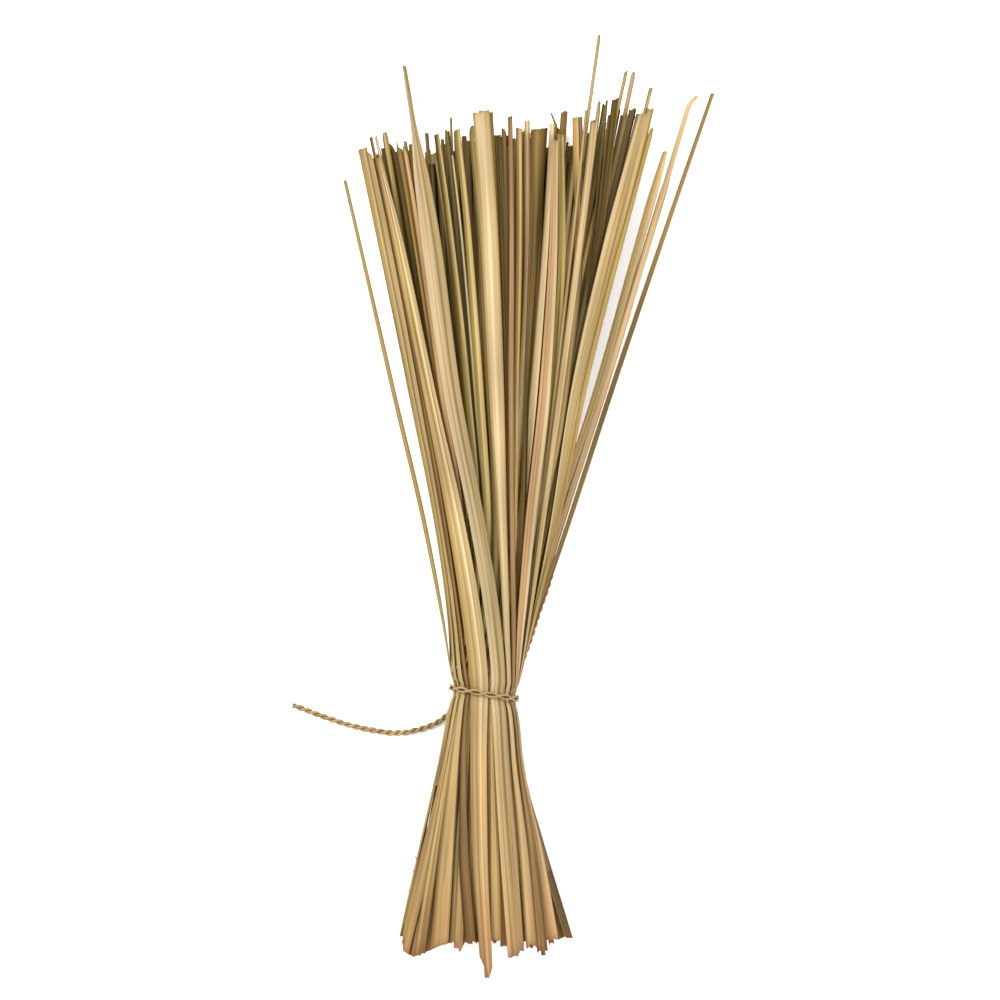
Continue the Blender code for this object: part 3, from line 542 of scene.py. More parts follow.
# How much closer a blade's rows are beside the tie and at its ends, and over what length
TIE_ROWS, TIE_ROWS_REACH = 1.6, 0.028
BUTT_ROWS, TIP_ROWS, END_ROWS_REACH = 1.5, 2.5, 0.008


def row_ways(length, tie_way, rows):
    """A blade's rows, as distances from its butt. Their density is 1, and more by a bell beside
    the tie and by an exponential fall from each end."""
    even = np.linspace(0.0, length, 400)
    density = 1.0 + TIE_ROWS * np.exp(-(((even - tie_way) / TIE_ROWS_REACH) ** 2))
    for distance, closer in ((even, BUTT_ROWS), (length - even, TIP_ROWS)):
        density = density + closer * np.exp(-distance / END_ROWS_REACH)
    summed = np.concatenate([[0.0], np.cumsum((density[1:] + density[:-1]) / 2)])
    return np.interp(np.linspace(0, summed[-1], rows), summed, even)


def width_shares(look, past_tie, from_butt, from_tip, butt_end, tip_end):
    """The share of its own width that a blade has at each place. Towards an end it falls to the
    end's taper with a power of the distance, below and past the tie it goes to the look's shares
    by a smooth step, and a waisted blade dips by a bell."""
    shares = np.ones_like(past_tie)
    for (taper, reach), distance, power in ((tip_end, from_tip, 0.7), (butt_end, from_butt, 0.8)):
        if reach:
            shares = shares * (taper + (1 - taper) * np.clip(distance / reach, 0, 1) ** power)
    shares = shares * (1 + (look["butt_wide"] - 1) * smoothstep(-past_tie, 0.0, 0.12))
    shares = shares * (1 + (look["tip_wide"] - 1) * smoothstep(past_tie, 0.02, 0.12))
    dip, dip_at, dip_reach = look["waisted"]
    return shares * (1 - dip * np.exp(-(((from_tip - dip_at * MM) / (dip_reach * MM)) ** 2)))


# How far from an end its form is felt and the waves die out, and the slow waves of a
# blade as lengths over 2 pi: two up and down, one aside, and its curl
END_REACH = 0.03
LONG_WAVE, SHORT_WAVE, SIDE_WAVE, CURL_WAVE = 0.062, 0.027, 0.045, 0.11


def blade_points(way, track, look, rows, dice):
    """One blade as a grid: rows from butt to tip, columns once round its thin section.

    From the left edge at t = -1 to the right edge at t = 1 the leaf's middle surface is the line
    between the edges, plus the ridge's offset times 1 - |t| to the fold's power, plus a cosine for
    each rib, deeper below the tie, a curl that grows with t to the fourth, and slow sines along
    the blade. The two sides lie half a thickness either way along the normal, thinner towards the
    edges. Returns the points, each column's t, each place's distance from the butt and each row's
    from the nearer end, and the blade's usual width."""
    sizes = bpy.context.scene.grass_blades
    width = np.linalg.norm(track[:, 6:] - track[:, :3], axis=1)
    typical = float(np.interp(0.7 * way[-1], way, width))
    ribs = max(2, round(width.max() / sizes.rib_spacing))
    columns = max(look["least_columns"], 3 * ribs + 1) if look["ribbed"] else look["least_columns"]
    t = np.linspace(-1.0, 1.0, columns)
    tip_short, *tip_end = end_profile(look["tip"], t, width[-1], dice)
    butt_short, *butt_end = end_profile(look["butt"], t, width[0], dice)
    if look["butt"] == "outline":
        butt_short = end_on_outline(butt_short, track[0], look["butt_wide"], t)
    tie_way = np.interp(LAYOUT_ZERO[1], track[:, 4], way)
    at = row_ways(way[-1], tie_way, rows)
    from_butt, from_tip = at[:, None], way[-1] - at[:, None]
    s = at[:, None] + butt_short * np.clip(1 - from_butt / END_REACH, 0, 1)
    s = s - tip_short * np.clip(1 - from_tip / END_REACH, 0, 1)
    past_tie = s - tie_way
    curves = smooth_curves(way, track, s)
    left, ridge, right = curves[..., :3], curves[..., 3:6], curves[..., 6:]
    shares = width_shares(look, past_tie, from_butt, from_tip, butt_end, tip_end)
    middle = (left + right) / 2
    half = (right - left) / 2 * shares[..., None]
    across = unit(half)
    normal = unit(np.cross(across, unit(np.gradient(middle, axis=0))))
    phase = dice.uniform(0, 2 * math.pi, 4)
    free = smoothstep(from_butt, 0, END_REACH) * smoothstep(np.abs(at[:, None] - tie_way), 0.012, 0.05)
    height = ((ridge - middle) * normal).sum(axis=-1) * shares * (1 - np.abs(t) ** look["fold"])
    pleat = 1 + 0.8 * smoothstep(-past_tie, 0.0, 0.06)
    height = height + sizes.rib_depth * look["ribbed"] * pleat * np.cos(math.pi * (t + 1) * ribs)
    wave = sizes.wave * look["waved"]
    waves = np.sin(s / LONG_WAVE + phase[0]) + 0.6 * np.sin(s / SHORT_WAVE + phase[1])
    height = height + wave * waves * free
    height = height + typical * look["curl"] * np.sin(s / CURL_WAVE + phase[2]) * t**4 * free
    sideways = 0.5 * wave * np.sin(s / SIDE_WAVE + phase[3]) * free
    if look["tip"] == "bent":
        bend = np.clip(1 - from_tip / BENT_LENGTH, 0, 1) ** 1.3
        sideways = sideways + BENT_REACH * bend * look["bend"]
    centre = middle + half * t[:, None] + normal * height[..., None] + across * sideways[..., None]
    thick = sizes.edge_thickness + (sizes.thickness - sizes.edge_thickness) * (1 - t**4)
    side = normal * (thick / 2)[:, None]
    points = np.concatenate([centre + side, (centre - side)[:, ::-1]], axis=1)
    points[..., 2] = np.maximum(points[..., 2], FLOOR_GAP)
    around = np.concatenate([t, t[::-1]])
    s = np.concatenate([s, s[:, ::-1]], axis=1)
    from_end = np.minimum(at, way[-1] - at)[:, None]
    return points, around, s, from_end, typical


def streak_field(around, way, width, dice):
    """A smooth random field over a blade in lengthwise streaks: values drawn at knots a streak's
    width apart across and a tenth of the blade apart along, read between them with a cubic step
    across and a straight line along."""
    across = max(3, round(width / bpy.context.scene.grass_blades.streak_width)) + 1
    along = 10
    knots = 0.85 * dice.normal(0.0, 1.0, across) + 0.55 * dice.normal(0.0, 1.0, (along, across))
    u = (around + 1) / 2 * (across - 1)
    i = np.clip(u.astype(int), 0, across - 2)[None, :]
    f = smoothstep(u - i, 0.0, 1.0)
    v = np.clip(way / way.max(), 0, 1) * (along - 1)
    j = np.clip(v.astype(int), 0, along - 2)
    near = knots[j, i] * (1 - f) + knots[j, i + 1] * f
    far = knots[j + 1, i] * (1 - f) + knots[j + 1, i + 1] * f
    return near + (far - near) * (v - j)


# How far each thing takes a leaf's colour to its own: light streaks (partly painted light on the
# folds), edge tones, the painted highlight along the ridge and the tone of the half below the tie
STREAK_LIGHT, EDGE_TINT, PAINTED_RIDGE_HIGHLIGHT, BUTT_TINT = 0.75, 0.8, 0.72, 0.65

# What is taken from red, green and blue at most: in dark streaks (partly painted shade in the
# folds), at the edges (the darker margin and painted shade of the gaps between blades), and at the
# butts
STREAK_DARK = 0.62 * np.array([0.80, 0.92, 1.15])
EDGE_MARGIN_AND_GAP_SHADE = 0.38 * np.array([0.8, 0.95, 1.15])
BUTTS_DARK = np.array([0.10, 0.20, 0.28])


def straw_colours(points, around, way, from_end, typical, look, dice):
    """A colour for each point of a blade: its own tone, edge tones along each edge (partly painted
    shade and light on its two sides), a painted highlight as a bell across along the ridge, lighter
    and darker streaks from a streak field (partly the leaf's own streaks, partly painted light and
    shade on its folds), a warmer tone below the tie, slow patches along, darker edges (the darker
    margin and painted shade of the gaps between blades), brown ends above the tie and reddish ones
    below it. The lighter streaks have the root of the body's colour times cream, so a dark leaf's
    are golden."""
    tones = bpy.context.scene.grass_colours
    body, left, right = (np.array(getattr(tones, name)) for name in look["tones"])
    cream, rust, brown, butt_half = (
        np.array(getattr(tones, name)) for name in ("cream", "rust", "brown", "butt_half")
    )
    t = around[None, :, None]
    streaks = streak_field(around, way, typical, dice)[..., None]
    colour = np.ones(way.shape + (1,)) * body
    # Lighter and darker streaks: partly the leaf's own streaky tone, partly painted light and shade on its
    # lengthwise folds
    colour = toward(colour, np.sqrt(body * cream), STREAK_LIGHT * smoothstep(streaks, 0.25, 1.5))
    colour = colour * (1 - STREAK_DARK * smoothstep(-streaks, 0.2, 1.5))
    if look["edge_reach"] is None:
        start = 0.75 - min(2.2 * MM / typical, 1.0)
    else:
        start = 1 - 1.6 * look["edge_reach"]
    # Edge tones: partly the leaf's own edge colours, partly painted shade and light on its two sides
    colour = toward(colour, left, EDGE_TINT * smoothstep(-t, start, 1.0))
    colour = toward(colour, right, EDGE_TINT * smoothstep(t, start, 1.0))
    # Painted highlight: a bell of cream across the blade along its ridge, where the fold would catch the
    # light
    butt_place, tip_place, ridge_width = look["ridge_highlight_at"]
    place = np.interp(way, [way.min(), way.max()], [butt_place, tip_place])
    bell = np.exp(-(((around[None, :] - place) / ridge_width) ** 2)) * look["ridge"]
    colour = toward(colour, cream, (PAINTED_RIDGE_HIGHLIGHT * bell)[..., None])
    depth = LAYOUT_ZERO[1] - points[..., 1]
    below = smoothstep(depth, 0.0, BUTT_HALF_FADE)[..., None]
    warm = butt_half * (0.15 + 0.85 * colour.mean(axis=-1, keepdims=True) / butt_half.mean())
    colour = toward(colour, warm, BUTT_TINT * below)
    colour = colour * (1 + (look["butt_level"] - 1) * below)
    patches = np.interp(way, np.linspace(0, way.max(), 14), dice.normal(0.0, 1.0, 14))
    colour = colour * np.clip(1 + 0.07 * patches, 0.6, 1.3)[..., None]
    # Darker edges: the leaf's darker margin and painted shade of the gaps between blades
    edge = smoothstep(np.abs(t), max(1 - 1.3 * MM / typical, 0.55), 1.0)
    colour = colour * (1 - EDGE_MARGIN_AND_GAP_SHADE * edge)
    at_end = np.exp(-from_end / (0.25 * typical + 0.9 * MM))[..., None]
    colour = toward(colour, toward(brown, rust, below), (0.30 + 0.40 * below) * at_end)
    colour = colour * (1 - BUTTS_DARK * smoothstep(depth, 0.10, 0.165)[..., None])
    return np.clip(colour * look["level"], 0.002, 0.95)


def tube_faces(rows, ring):
    """Quads between neighbouring rows of a grid whose columns close into a ring."""
    i, k = np.meshgrid(np.arange(rows - 1), np.arange(ring), indexing="ij")
    k_next = (k + 1) % ring
    quads = np.stack([i * ring + k, i * ring + k_next, (i + 1) * ring + k_next, (i + 1) * ring + k], axis=-1)
    return quads.reshape(-1, 4)


def section_caps(rows, columns):
    """Quads that close both ends of a blade, between its upper and its lower columns."""
    j = np.arange(columns - 1)
    under = 2 * columns - 1 - j
    butt = np.stack([j, under, under - 1, j + 1], axis=-1)
    tip = np.stack([j, j + 1, under - 1, under], axis=-1) + (rows - 1) * 2 * columns
    return np.concatenate([butt, tip])


def mesh_piece(name, points, faces, uv, colours, material, sharp=35.0):
    """A mesh object from whole arrays, with a UV map and a colour for each point."""
    mesh = bpy.data.meshes.new(name)
    mesh.vertices.add(len(points))
    mesh.vertices.foreach_set("co", points.astype(np.float32).ravel())
    mesh.loops.add(faces.size)
    mesh.loops.foreach_set("vertex_index", faces.astype(np.int32).ravel())
    mesh.polygons.add(len(faces))
    mesh.polygons.foreach_set("loop_start", np.arange(0, faces.size, faces.shape[1], dtype=np.int32))
    mesh.update(calc_edges=True)
    layer = mesh.uv_layers.new(name="Leaf")
    layer.uv.foreach_set("vector", uv[faces.ravel()].astype(np.float32).ravel())
    tone = mesh.color_attributes.new("straw_tone", "FLOAT_COLOR", "POINT")
    rgba = np.concatenate([colours, np.ones((len(colours), 1))], axis=1)
    tone.data.foreach_set("color", rgba.astype(np.float32).ravel())
    mesh.shade_smooth()
    mesh.set_sharp_from_angle(angle=math.radians(sharp))
    mesh.materials.append(material)
    mesh.validate()
    piece = bpy.data.objects.new(name, mesh)
    bpy.context.scene.collection.objects.link(piece)
    return piece


def blade_arrays(way, track, look, rows, dice):
    """Points, faces, UVs and colours of one whole blade. Its UVs are metres across and along."""
    points, around, s, from_end, typical = blade_points(way, track, look, rows, dice)
    colours = straw_colours(points, around, s, from_end, typical, look, dice)
    ring = len(around)
    faces = np.concatenate([tube_faces(rows, ring), section_caps(rows, ring // 2)])
    shift = dice.uniform(0.0, 1.0, 2)
    u = np.ones_like(s) * (around + 1)[None, :] / 2 * typical + shift[0]
    uv = np.stack([u, s + shift[1]], axis=-1)
    return points.reshape(-1, 3), faces, uv.reshape(-1, 2), colours.reshape(-1, 3)


def joined(blades):
    """Several blades' points, faces, UVs and colours as one."""
    points, faces, uv, colours = zip(*blades)
    starts = np.cumsum([0] + [len(each) for each in points[:-1]])
    faces = [each + start for each, start in zip(faces, starts)]
    return [np.concatenate(arrays) for arrays in (points, faces, uv, colours)]


# The fine and the broad veins: a noise's scale across and along the leaf, its detail, its share of
# the finish's contrast, and how much of that lightens the leaf between the veins
FINE_VEINS = ((2600.0, 14.0, 1.0), 3.0, 1.0, 0.55)
BROAD_VEINS = ((620.0, 9.0, 1.0), 2.0, 0.9, 0.5)
VEIN_BUMP, VEIN_HEIGHT = 0.35, 0.12 * MM


def vein_noise(tree, place, vein_contrast, scale, detail, share, light_share):
    """A noise stretched along the leaf, and the level that it gives the tone: down by its contrast
    in the veins, and up by a share of that between them."""
    contrast = share * vein_contrast
    stretch = tree.nodes.new("ShaderNodeMapping")
    stretch.inputs["Scale"].default_value = scale
    noise = tree.nodes.new("ShaderNodeTexNoise")
    noise.inputs["Scale"].default_value = 1.0
    noise.inputs["Detail"].default_value = detail
    level = tree.nodes.new("ShaderNodeMapRange")
    level.inputs["From Min"].default_value = 0.30
    level.inputs["From Max"].default_value = 0.70
    level.inputs["To Min"].default_value = 1.0 - contrast
    level.inputs["To Max"].default_value = 1.0 + light_share * contrast
    tree.links.new(place.outputs["UV"], stretch.inputs["Vector"])
    tree.links.new(stretch.outputs["Vector"], noise.inputs["Vector"])
    tree.links.new(noise.outputs["Fac"], level.inputs["Value"])
    return noise, level


def straw_material(slot, roughness, specular, vein_contrast):
    """Dry leaf: its own tone attribute, times the levels of fine and broad veins; satin, with a
    roughness that follows the fine veins."""
    material = bpy.data.materials.new(slot + "_leaf")
    material.use_nodes = True
    tree = material.node_tree
    nodes, links = tree.nodes, tree.links
    shader = nodes["Principled BSDF"]
    tone = nodes.new("ShaderNodeAttribute")
    tone.attribute_name = "straw_tone"
    place = nodes.new("ShaderNodeUVMap")
    place.uv_map = "Leaf"
    fine, fine_level = vein_noise(tree, place, vein_contrast, *FINE_VEINS)
    _, broad_level = vein_noise(tree, place, vein_contrast, *BROAD_VEINS)
    level = nodes.new("ShaderNodeMath")
    level.operation = "MULTIPLY"
    links.new(fine_level.outputs["Result"], level.inputs[0])
    links.new(broad_level.outputs["Result"], level.inputs[1])
    colour = nodes.new("ShaderNodeVectorMath")
    colour.operation = "SCALE"
    links.new(tone.outputs["Color"], colour.inputs[0])
    links.new(level.outputs["Value"], colour.inputs["Scale"])
    links.new(colour.outputs["Vector"], shader.inputs["Base Color"])
    rough_range = nodes.new("ShaderNodeMapRange")
    rough_range.inputs["To Min"].default_value = roughness - 0.10
    rough_range.inputs["To Max"].default_value = roughness + 0.12
    links.new(fine.outputs["Fac"], rough_range.inputs["Value"])
    links.new(rough_range.outputs["Result"], shader.inputs["Roughness"])
    bump = nodes.new("ShaderNodeBump")
    bump.inputs["Strength"].default_value = VEIN_BUMP
    bump.inputs["Distance"].default_value = VEIN_HEIGHT
    links.new(fine.outputs["Fac"], bump.inputs["Height"])
    links.new(bump.outputs["Normal"], shader.inputs["Normal"])
    shader.inputs["Specular IOR Level"].default_value = specular
    return material


# Roughness, specular level and contrast of the veins, by slot
STRAW_FINISH = {
    "straw_pale": (0.50, 0.20, 0.18),
    "straw_tan": (0.54, 0.15, 0.23),
    "straw_gold": (0.54, 0.12, 0.25),
    "straw_peach": (0.54, 0.14, 0.22),
    "straw_olive": (0.62, 0.06, 0.28),
    "straw_brown": (0.64, 0.05, 0.30),
    "straw_cord": (0.64, 0.16, 0.30),
}


def straw_finish(slot):
    """The slot's material, made the first time it is asked for."""
    return bpy.data.materials.get(slot + "_leaf") or straw_material(slot, *STRAW_FINISH[slot])


def dress(piece, slot, *nodes):
    """The piece rides on the bunch and stands for the CAD nodes, which it hides. The slot is not used."""
    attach(piece, "root")
    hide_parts(*nodes)


def even_path(route, step):
    """Points every step along a smooth curve through the route's own points, and its length:
    between two of them the Catmull-Rom cubic, which takes its slope at a point from the two
    beside it."""
    route = np.concatenate([[2 * route[0] - route[1]], route, [2 * route[-1] - route[-2]]])
    a, b, c, d = (route[k : len(route) - 3 + k, None] for k in range(4))
    t = np.linspace(0, 1, 24, endpoint=False)[None, :, None]
    fine = (2 * b + (c - a) * t + (2 * a - 5 * b + 4 * c - d) * t**2 + (3 * b - a - 3 * c + d) * t**3) / 2
    fine = np.concatenate([fine.reshape(-1, 3), route[-2:-1]])
    way = distances(fine)
    at = np.linspace(0, way[-1], int(round(way[-1] / step)) + 1)
    return places_at(fine, way, at), way[-1]


# A ply's radius and its centre's reach as shares of the cord's radius, and the pressed share of the
# reach: round in the free ends, and flat and loosely wound round the waist
ROUND_PLY = (0.56, 0.44, 1.0)
RING_PLY = (0.42, 0.62, 0.25)

# The columns round a ply's section, its count of fibres, and how far they wind in one radius
PLY_COLUMNS = 20
FIBRES, FIBRE_TURN = 7, 1.7


def ply_arrays(path, upright, pitch, shape, turn, dice):
    """Points, UVs and colours of one ply of a twisted cord along a path. Its centre circles round
    the path once a pitch, less towards and away from what the cord is pressed on. Its section is a
    circle with a cosine for each fibre, and the fibres wind the other way."""
    sizes, tones = bpy.context.scene.grass_cord, bpy.context.scene.grass_colours
    radius, reach, pressed = np.array(shape) * np.array([sizes.diameter / 2, sizes.diameter / 2, 1.0])
    way = distances(path)
    along = unit(np.gradient(path, axis=0))
    side = unit(np.cross(along, upright))
    top = np.cross(side, along)
    angle = 2 * math.pi * way / pitch + turn
    circle = np.cos(angle)[:, None] * side * pressed + np.sin(angle)[:, None] * top
    around = np.arange(PLY_COLUMNS) / PLY_COLUMNS * 2 * math.pi
    direction = np.cos(around)[None, :, None] * side[:, None] + np.sin(around)[None, :, None] * top[:, None]
    closing = np.clip(np.minimum(way, way[-1] - way) / (0.9 * radius), 0.02, 1.0) ** 0.5
    slack = 1 + 0.05 * np.interp(way, np.linspace(0, way[-1], 16), dice.normal(0, 1, 16))
    winding = FIBRES * around[None, :] + FIBRE_TURN * way[:, None] / radius
    thick = (radius * slack * closing)[:, None] * (1 + sizes.fibre_depth * np.cos(winding))
    points = (path + circle * reach)[:, None] + direction * thick[..., None]
    points[..., 2] = np.maximum(points[..., 2], FLOOR_GAP)
    # Painted shade on the side of each ply that faces the other one
    groove_shade = smoothstep(-(direction * circle[:, None]).sum(axis=-1), 0.05, 0.95)[..., None]
    colour = toward(np.array(tones.cord), np.array(tones.cord_groove), groove_shade)
    patches = np.interp(way, np.linspace(0, way[-1], 24), dice.normal(0.0, 1.0, 24))
    # Slow patches of tone, and a painted shade between the fibres: each fibre lighter on its crest and
    # darker beside it
    colour = colour * np.clip(1 + 0.14 * patches[:, None] + 0.12 * np.cos(winding), 0.6, 1.4)[..., None]
    uv = np.stack(np.broadcast_arrays(around[None, :] * radius, way[:, None]), axis=-1)
    return points.reshape(-1, 3), uv.reshape(-1, 2), colour.reshape(-1, 3)


def cord_piece(name, path, upright, pitch, seed, shape=ROUND_PLY):
    """Two plies twisted round each other along a path, each closed at its ends by a fan."""
    dice = np.random.default_rng(seed)
    upright = np.array(upright, float)
    plies = [ply_arrays(path, upright, pitch, shape, turn, dice) for turn in (0.0, math.pi)]
    points, uv, colours = (np.concatenate(arrays) for arrays in zip(*plies))
    first = np.arange(PLY_COLUMNS)
    caps = (first[::-1], first + (len(path) - 1) * PLY_COLUMNS)
    fans = np.concatenate(
        [np.stack([cap[:1].repeat(PLY_COLUMNS - 2), cap[1:-1], cap[2:]], axis=-1) for cap in caps]
    )
    quads = tube_faces(len(path), PLY_COLUMNS)
    quads, fans = (np.concatenate([faces, faces + len(points) // 2]) for faces in (quads, fans))
    triangles = np.concatenate([quads[:, [0, 1, 2]], quads[:, [0, 2, 3]], fans])
    return mesh_piece(name, points, triangles, uv, colours, straw_finish("straw_cord"), sharp=60.0)


# The turn round the waist: its thickness where the cord is pressed, the height of its middle, its
# roundness, how far it goes back for each length to the right, and how far it reaches into the knot
RING_THICKNESS = 2.4 * MM
RING_MIDDLE = 27.0 * MM
RING_ROUNDNESS = 2.3
TIE_SLANT = -0.17
RING_IN_KNOT = 1.0 * MM


def ring_path():
    """The turn round the waist: a superellipse through the reach of the plain ring, open at the
    knot. X is the half width times the sine, and Z the half height times the cosine, each to the
    power of 2 over the roundness; Y follows the tie's slant."""
    low, high = (np.array(corner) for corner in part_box("tie_ring"))
    half_width = (high[0] - low[0] - RING_THICKNESS) / 2
    top, bottom = high[2] - RING_THICKNESS / 2, low[2] + RING_THICKNESS / 2
    angle = np.linspace(-math.pi, math.pi, 721)
    across, up = (
        np.sign(wave) * np.abs(wave) ** (2 / RING_ROUNDNESS) for wave in (np.sin(angle), np.cos(angle))
    )
    x = (high[0] + low[0]) / 2 + half_width * across
    z = RING_MIDDLE + np.where(up > 0, (top - RING_MIDDLE) * up, (RING_MIDDLE - bottom) * up)
    y = LAYOUT_ZERO[1] + TIE_Y + TIE_SLANT * (x - LAYOUT_ZERO[0])
    knot_side = (KNOT_HIGH[0] - KNOT_LOW[0]) / 2 - RING_IN_KNOT
    keep = (np.abs(x - LAYOUT_ZERO[0]) > knot_side) | (z > RING_MIDDLE)
    route = np.stack([x, y, z], axis=1)[keep]
    way = distances(route)
    return places_at(route, way, np.linspace(0, way[-1], int(way[-1] / (0.6 * MM))))


def knot_path():
    """An overhand knot: the trefoil curve, sin t + 2 sin 2t, cos t - 2 cos 2t and -sin 3t, shrunk
    to the plain knot's block less one cord radius all round."""
    t = np.linspace(0.0, 2 * math.pi, 220)
    shape = np.stack(
        [np.sin(t) + 2 * np.sin(2 * t), np.cos(t) - 2 * np.cos(2 * t), -np.sin(3 * t)], axis=1
    )
    room = (KNOT_HIGH - KNOT_LOW) / 2 - bpy.context.scene.grass_cord.diameter / 2
    return KNOT_CENTRE + shape / np.abs(shape).max(axis=0) * room


class GRASS_OT_stage(bpy.types.Operator):
    """Camera from straight above, plain pale floor and soft studio light"""

    bl_idname = "grass.stage"
    bl_label = "Stage"

    def execute(self, context):
        settings = context.scene.grass_stage
        context.scene.view_settings.view_transform = "Standard"
        camera_data = bpy.data.cameras.new("Camera")
        distance = settings.camera_height - SEEN_HEIGHT
        camera_data.sensor_width = 36.0
        camera_data.lens = camera_data.sensor_width * distance / FRAME_WIDTH
        camera = bpy.data.objects.new("Camera", camera_data)
        camera.location = (*FRAME_MIDDLE, settings.camera_height)
        context.scene.collection.objects.link(camera)
        context.scene.camera = camera
        bpy.ops.mesh.primitive_plane_add(size=FLOOR_SIZE, location=(0.0, 0.0, 0.0))
        floor = context.active_object
        floor.name = "Floor"
        paint = bpy.data.materials.new("Floor paint")
        paint.use_nodes = True
        shader = paint.node_tree.nodes["Principled BSDF"]
        shader.inputs["Base Color"].default_value = (*settings.floor_colour, 1.0)
        shader.inputs["Roughness"].default_value = 0.9
        floor.data.materials.append(paint)
        # Each lamp's name, place, size and power; it points at the middle of the floor
        lamps = (
            ("Key light", (-0.9, 0.75, 1.3), 0.9, settings.key_power),
            ("Fill light", (1.2, 0.1, 1.1), 1.3, settings.fill_power),
        )
        for name, place, size, power in lamps:
            lamp_data = bpy.data.lights.new(name, "AREA")
            lamp_data.size = size
            lamp_data.energy = power
            lamp = bpy.data.objects.new(name, lamp_data)
            lamp.location = place
            lamp.rotation_euler = (-lamp.location).to_track_quat("-Z", "Y").to_euler()
            context.scene.collection.objects.link(lamp)
        world = bpy.data.worlds.new("Room")
        world.use_nodes = True
        sky = world.node_tree.nodes["Background"]
        sky.inputs["Color"].default_value = (1.0, 1.0, 1.0, 1.0)
        sky.inputs["Strength"].default_value = settings.room_light
        context.scene.world = world
        return {"FINISHED"}


class GRASS_OT_cord(bpy.types.Operator):
    """The twisted straw cord: its turn round the waist, the knot and the two free ends"""

    bl_idname = "grass.cord"
    bl_label = "Cord"

    def execute(self, context):
        sizes = context.scene.grass_cord
        for node, route in (("cord_tail_left", TAIL_LEFT), ("cord_tail_right", TAIL_RIGHT)):
            path, length = even_path(np.array(route) + LAYOUT_ZERO, 0.5 * MM)
            tail = cord_piece(node + "_twisted", path, (0, 0, 1), sizes.tail_pitch, SEEDS[node])
            dress(tail, "straw_cord", node)
        held = (
            ("tie_ring", ring_path(), (0, 1, 0), sizes.ring_pitch, RING_PLY),
            ("tie_knot", knot_path(), (0.1, 0.2, 1), sizes.tail_pitch, ROUND_PLY),
        )
        for node, path, upright, pitch, shape in held:
            piece = cord_piece(node + "_twisted", path, upright, pitch, SEEDS[node], shape)
            dress(piece, "straw_cord", node)
        return {"FINISHED"}


def blade_look(node, dice):
    """How one blade is dressed: from the tables of the front, or by chance for the others."""
    if node in FRONT_LOOKS:
        body, level, left, right, ridge, fold, tip, butt = FRONT_LOOKS[node]
        butt_wide = FRONT_BUTT_WIDE
    else:
        body, level = SLOTS[node].removeprefix("straw_"), 1.0
        left, right = dice.choice(["tan", "gold", "olive", "brown", "pale"], 2)
        ridge, fold = dice.uniform(0.2, 0.6), dice.uniform(1.3, 1.9)
        tip, butt = dice.choice(UNDER_ENDS, 2)
        butt_wide = 1.0
    return {
        **PLAIN_LOOK,
        "tones": (body, left, right),
        # The ridge number is the strength of the painted highlight along the ridge
        "ridge": ridge,
        "ridge_highlight_at": (*dice.uniform(-0.5, 0.5, 2), 0.24),
        "fold": fold,
        "tip": tip,
        "butt": butt,
        "butt_wide": butt_wide,
        "level": level * dice.uniform(0.95, 1.05),
        **OWN_LOOKS.get(node, {}),
    }


def dress_blades(nodes, seed):
    """A fine leaf in the place of each of these CAD blades."""
    dice = np.random.default_rng(seed)
    rows = bpy.context.scene.grass_blades.rows
    for node in nodes:
        way, track = blade_track(node)
        look = blade_look(node, dice)
        points, faces, uv, colours = blade_arrays(way, track, look, rows, dice)
        leaf = mesh_piece(node + "_leaf", points, faces, uv, colours, straw_finish(SLOTS[node]))
        dress(leaf, SLOTS[node], node)


class GRASS_OT_front_blades(bpy.types.Operator):
    """The blades that face the camera and the strays, each from its own plain blade"""

    bl_idname = "grass.front_blades"
    bl_label = "Front blades"

    def execute(self, context):
        dress_blades(sorted(FRONT_LOOKS), SEEDS["front"])
        return {"FINISHED"}


class GRASS_OT_under_blades(bpy.types.Operator):
    """The blades of the sides and of the underside"""

    bl_idname = "grass.under_blades"
    bl_label = "Under blades"

    def execute(self, context):
        nodes = sorted(node for node in frame["nodes"] if node.startswith("blade_under"))
        dress_blades(nodes, SEEDS["under"])
        return {"FINISHED"}


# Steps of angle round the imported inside, and the count of places that tells a station
ANGLE_STEPS = 72
STATION_PLACES = 40


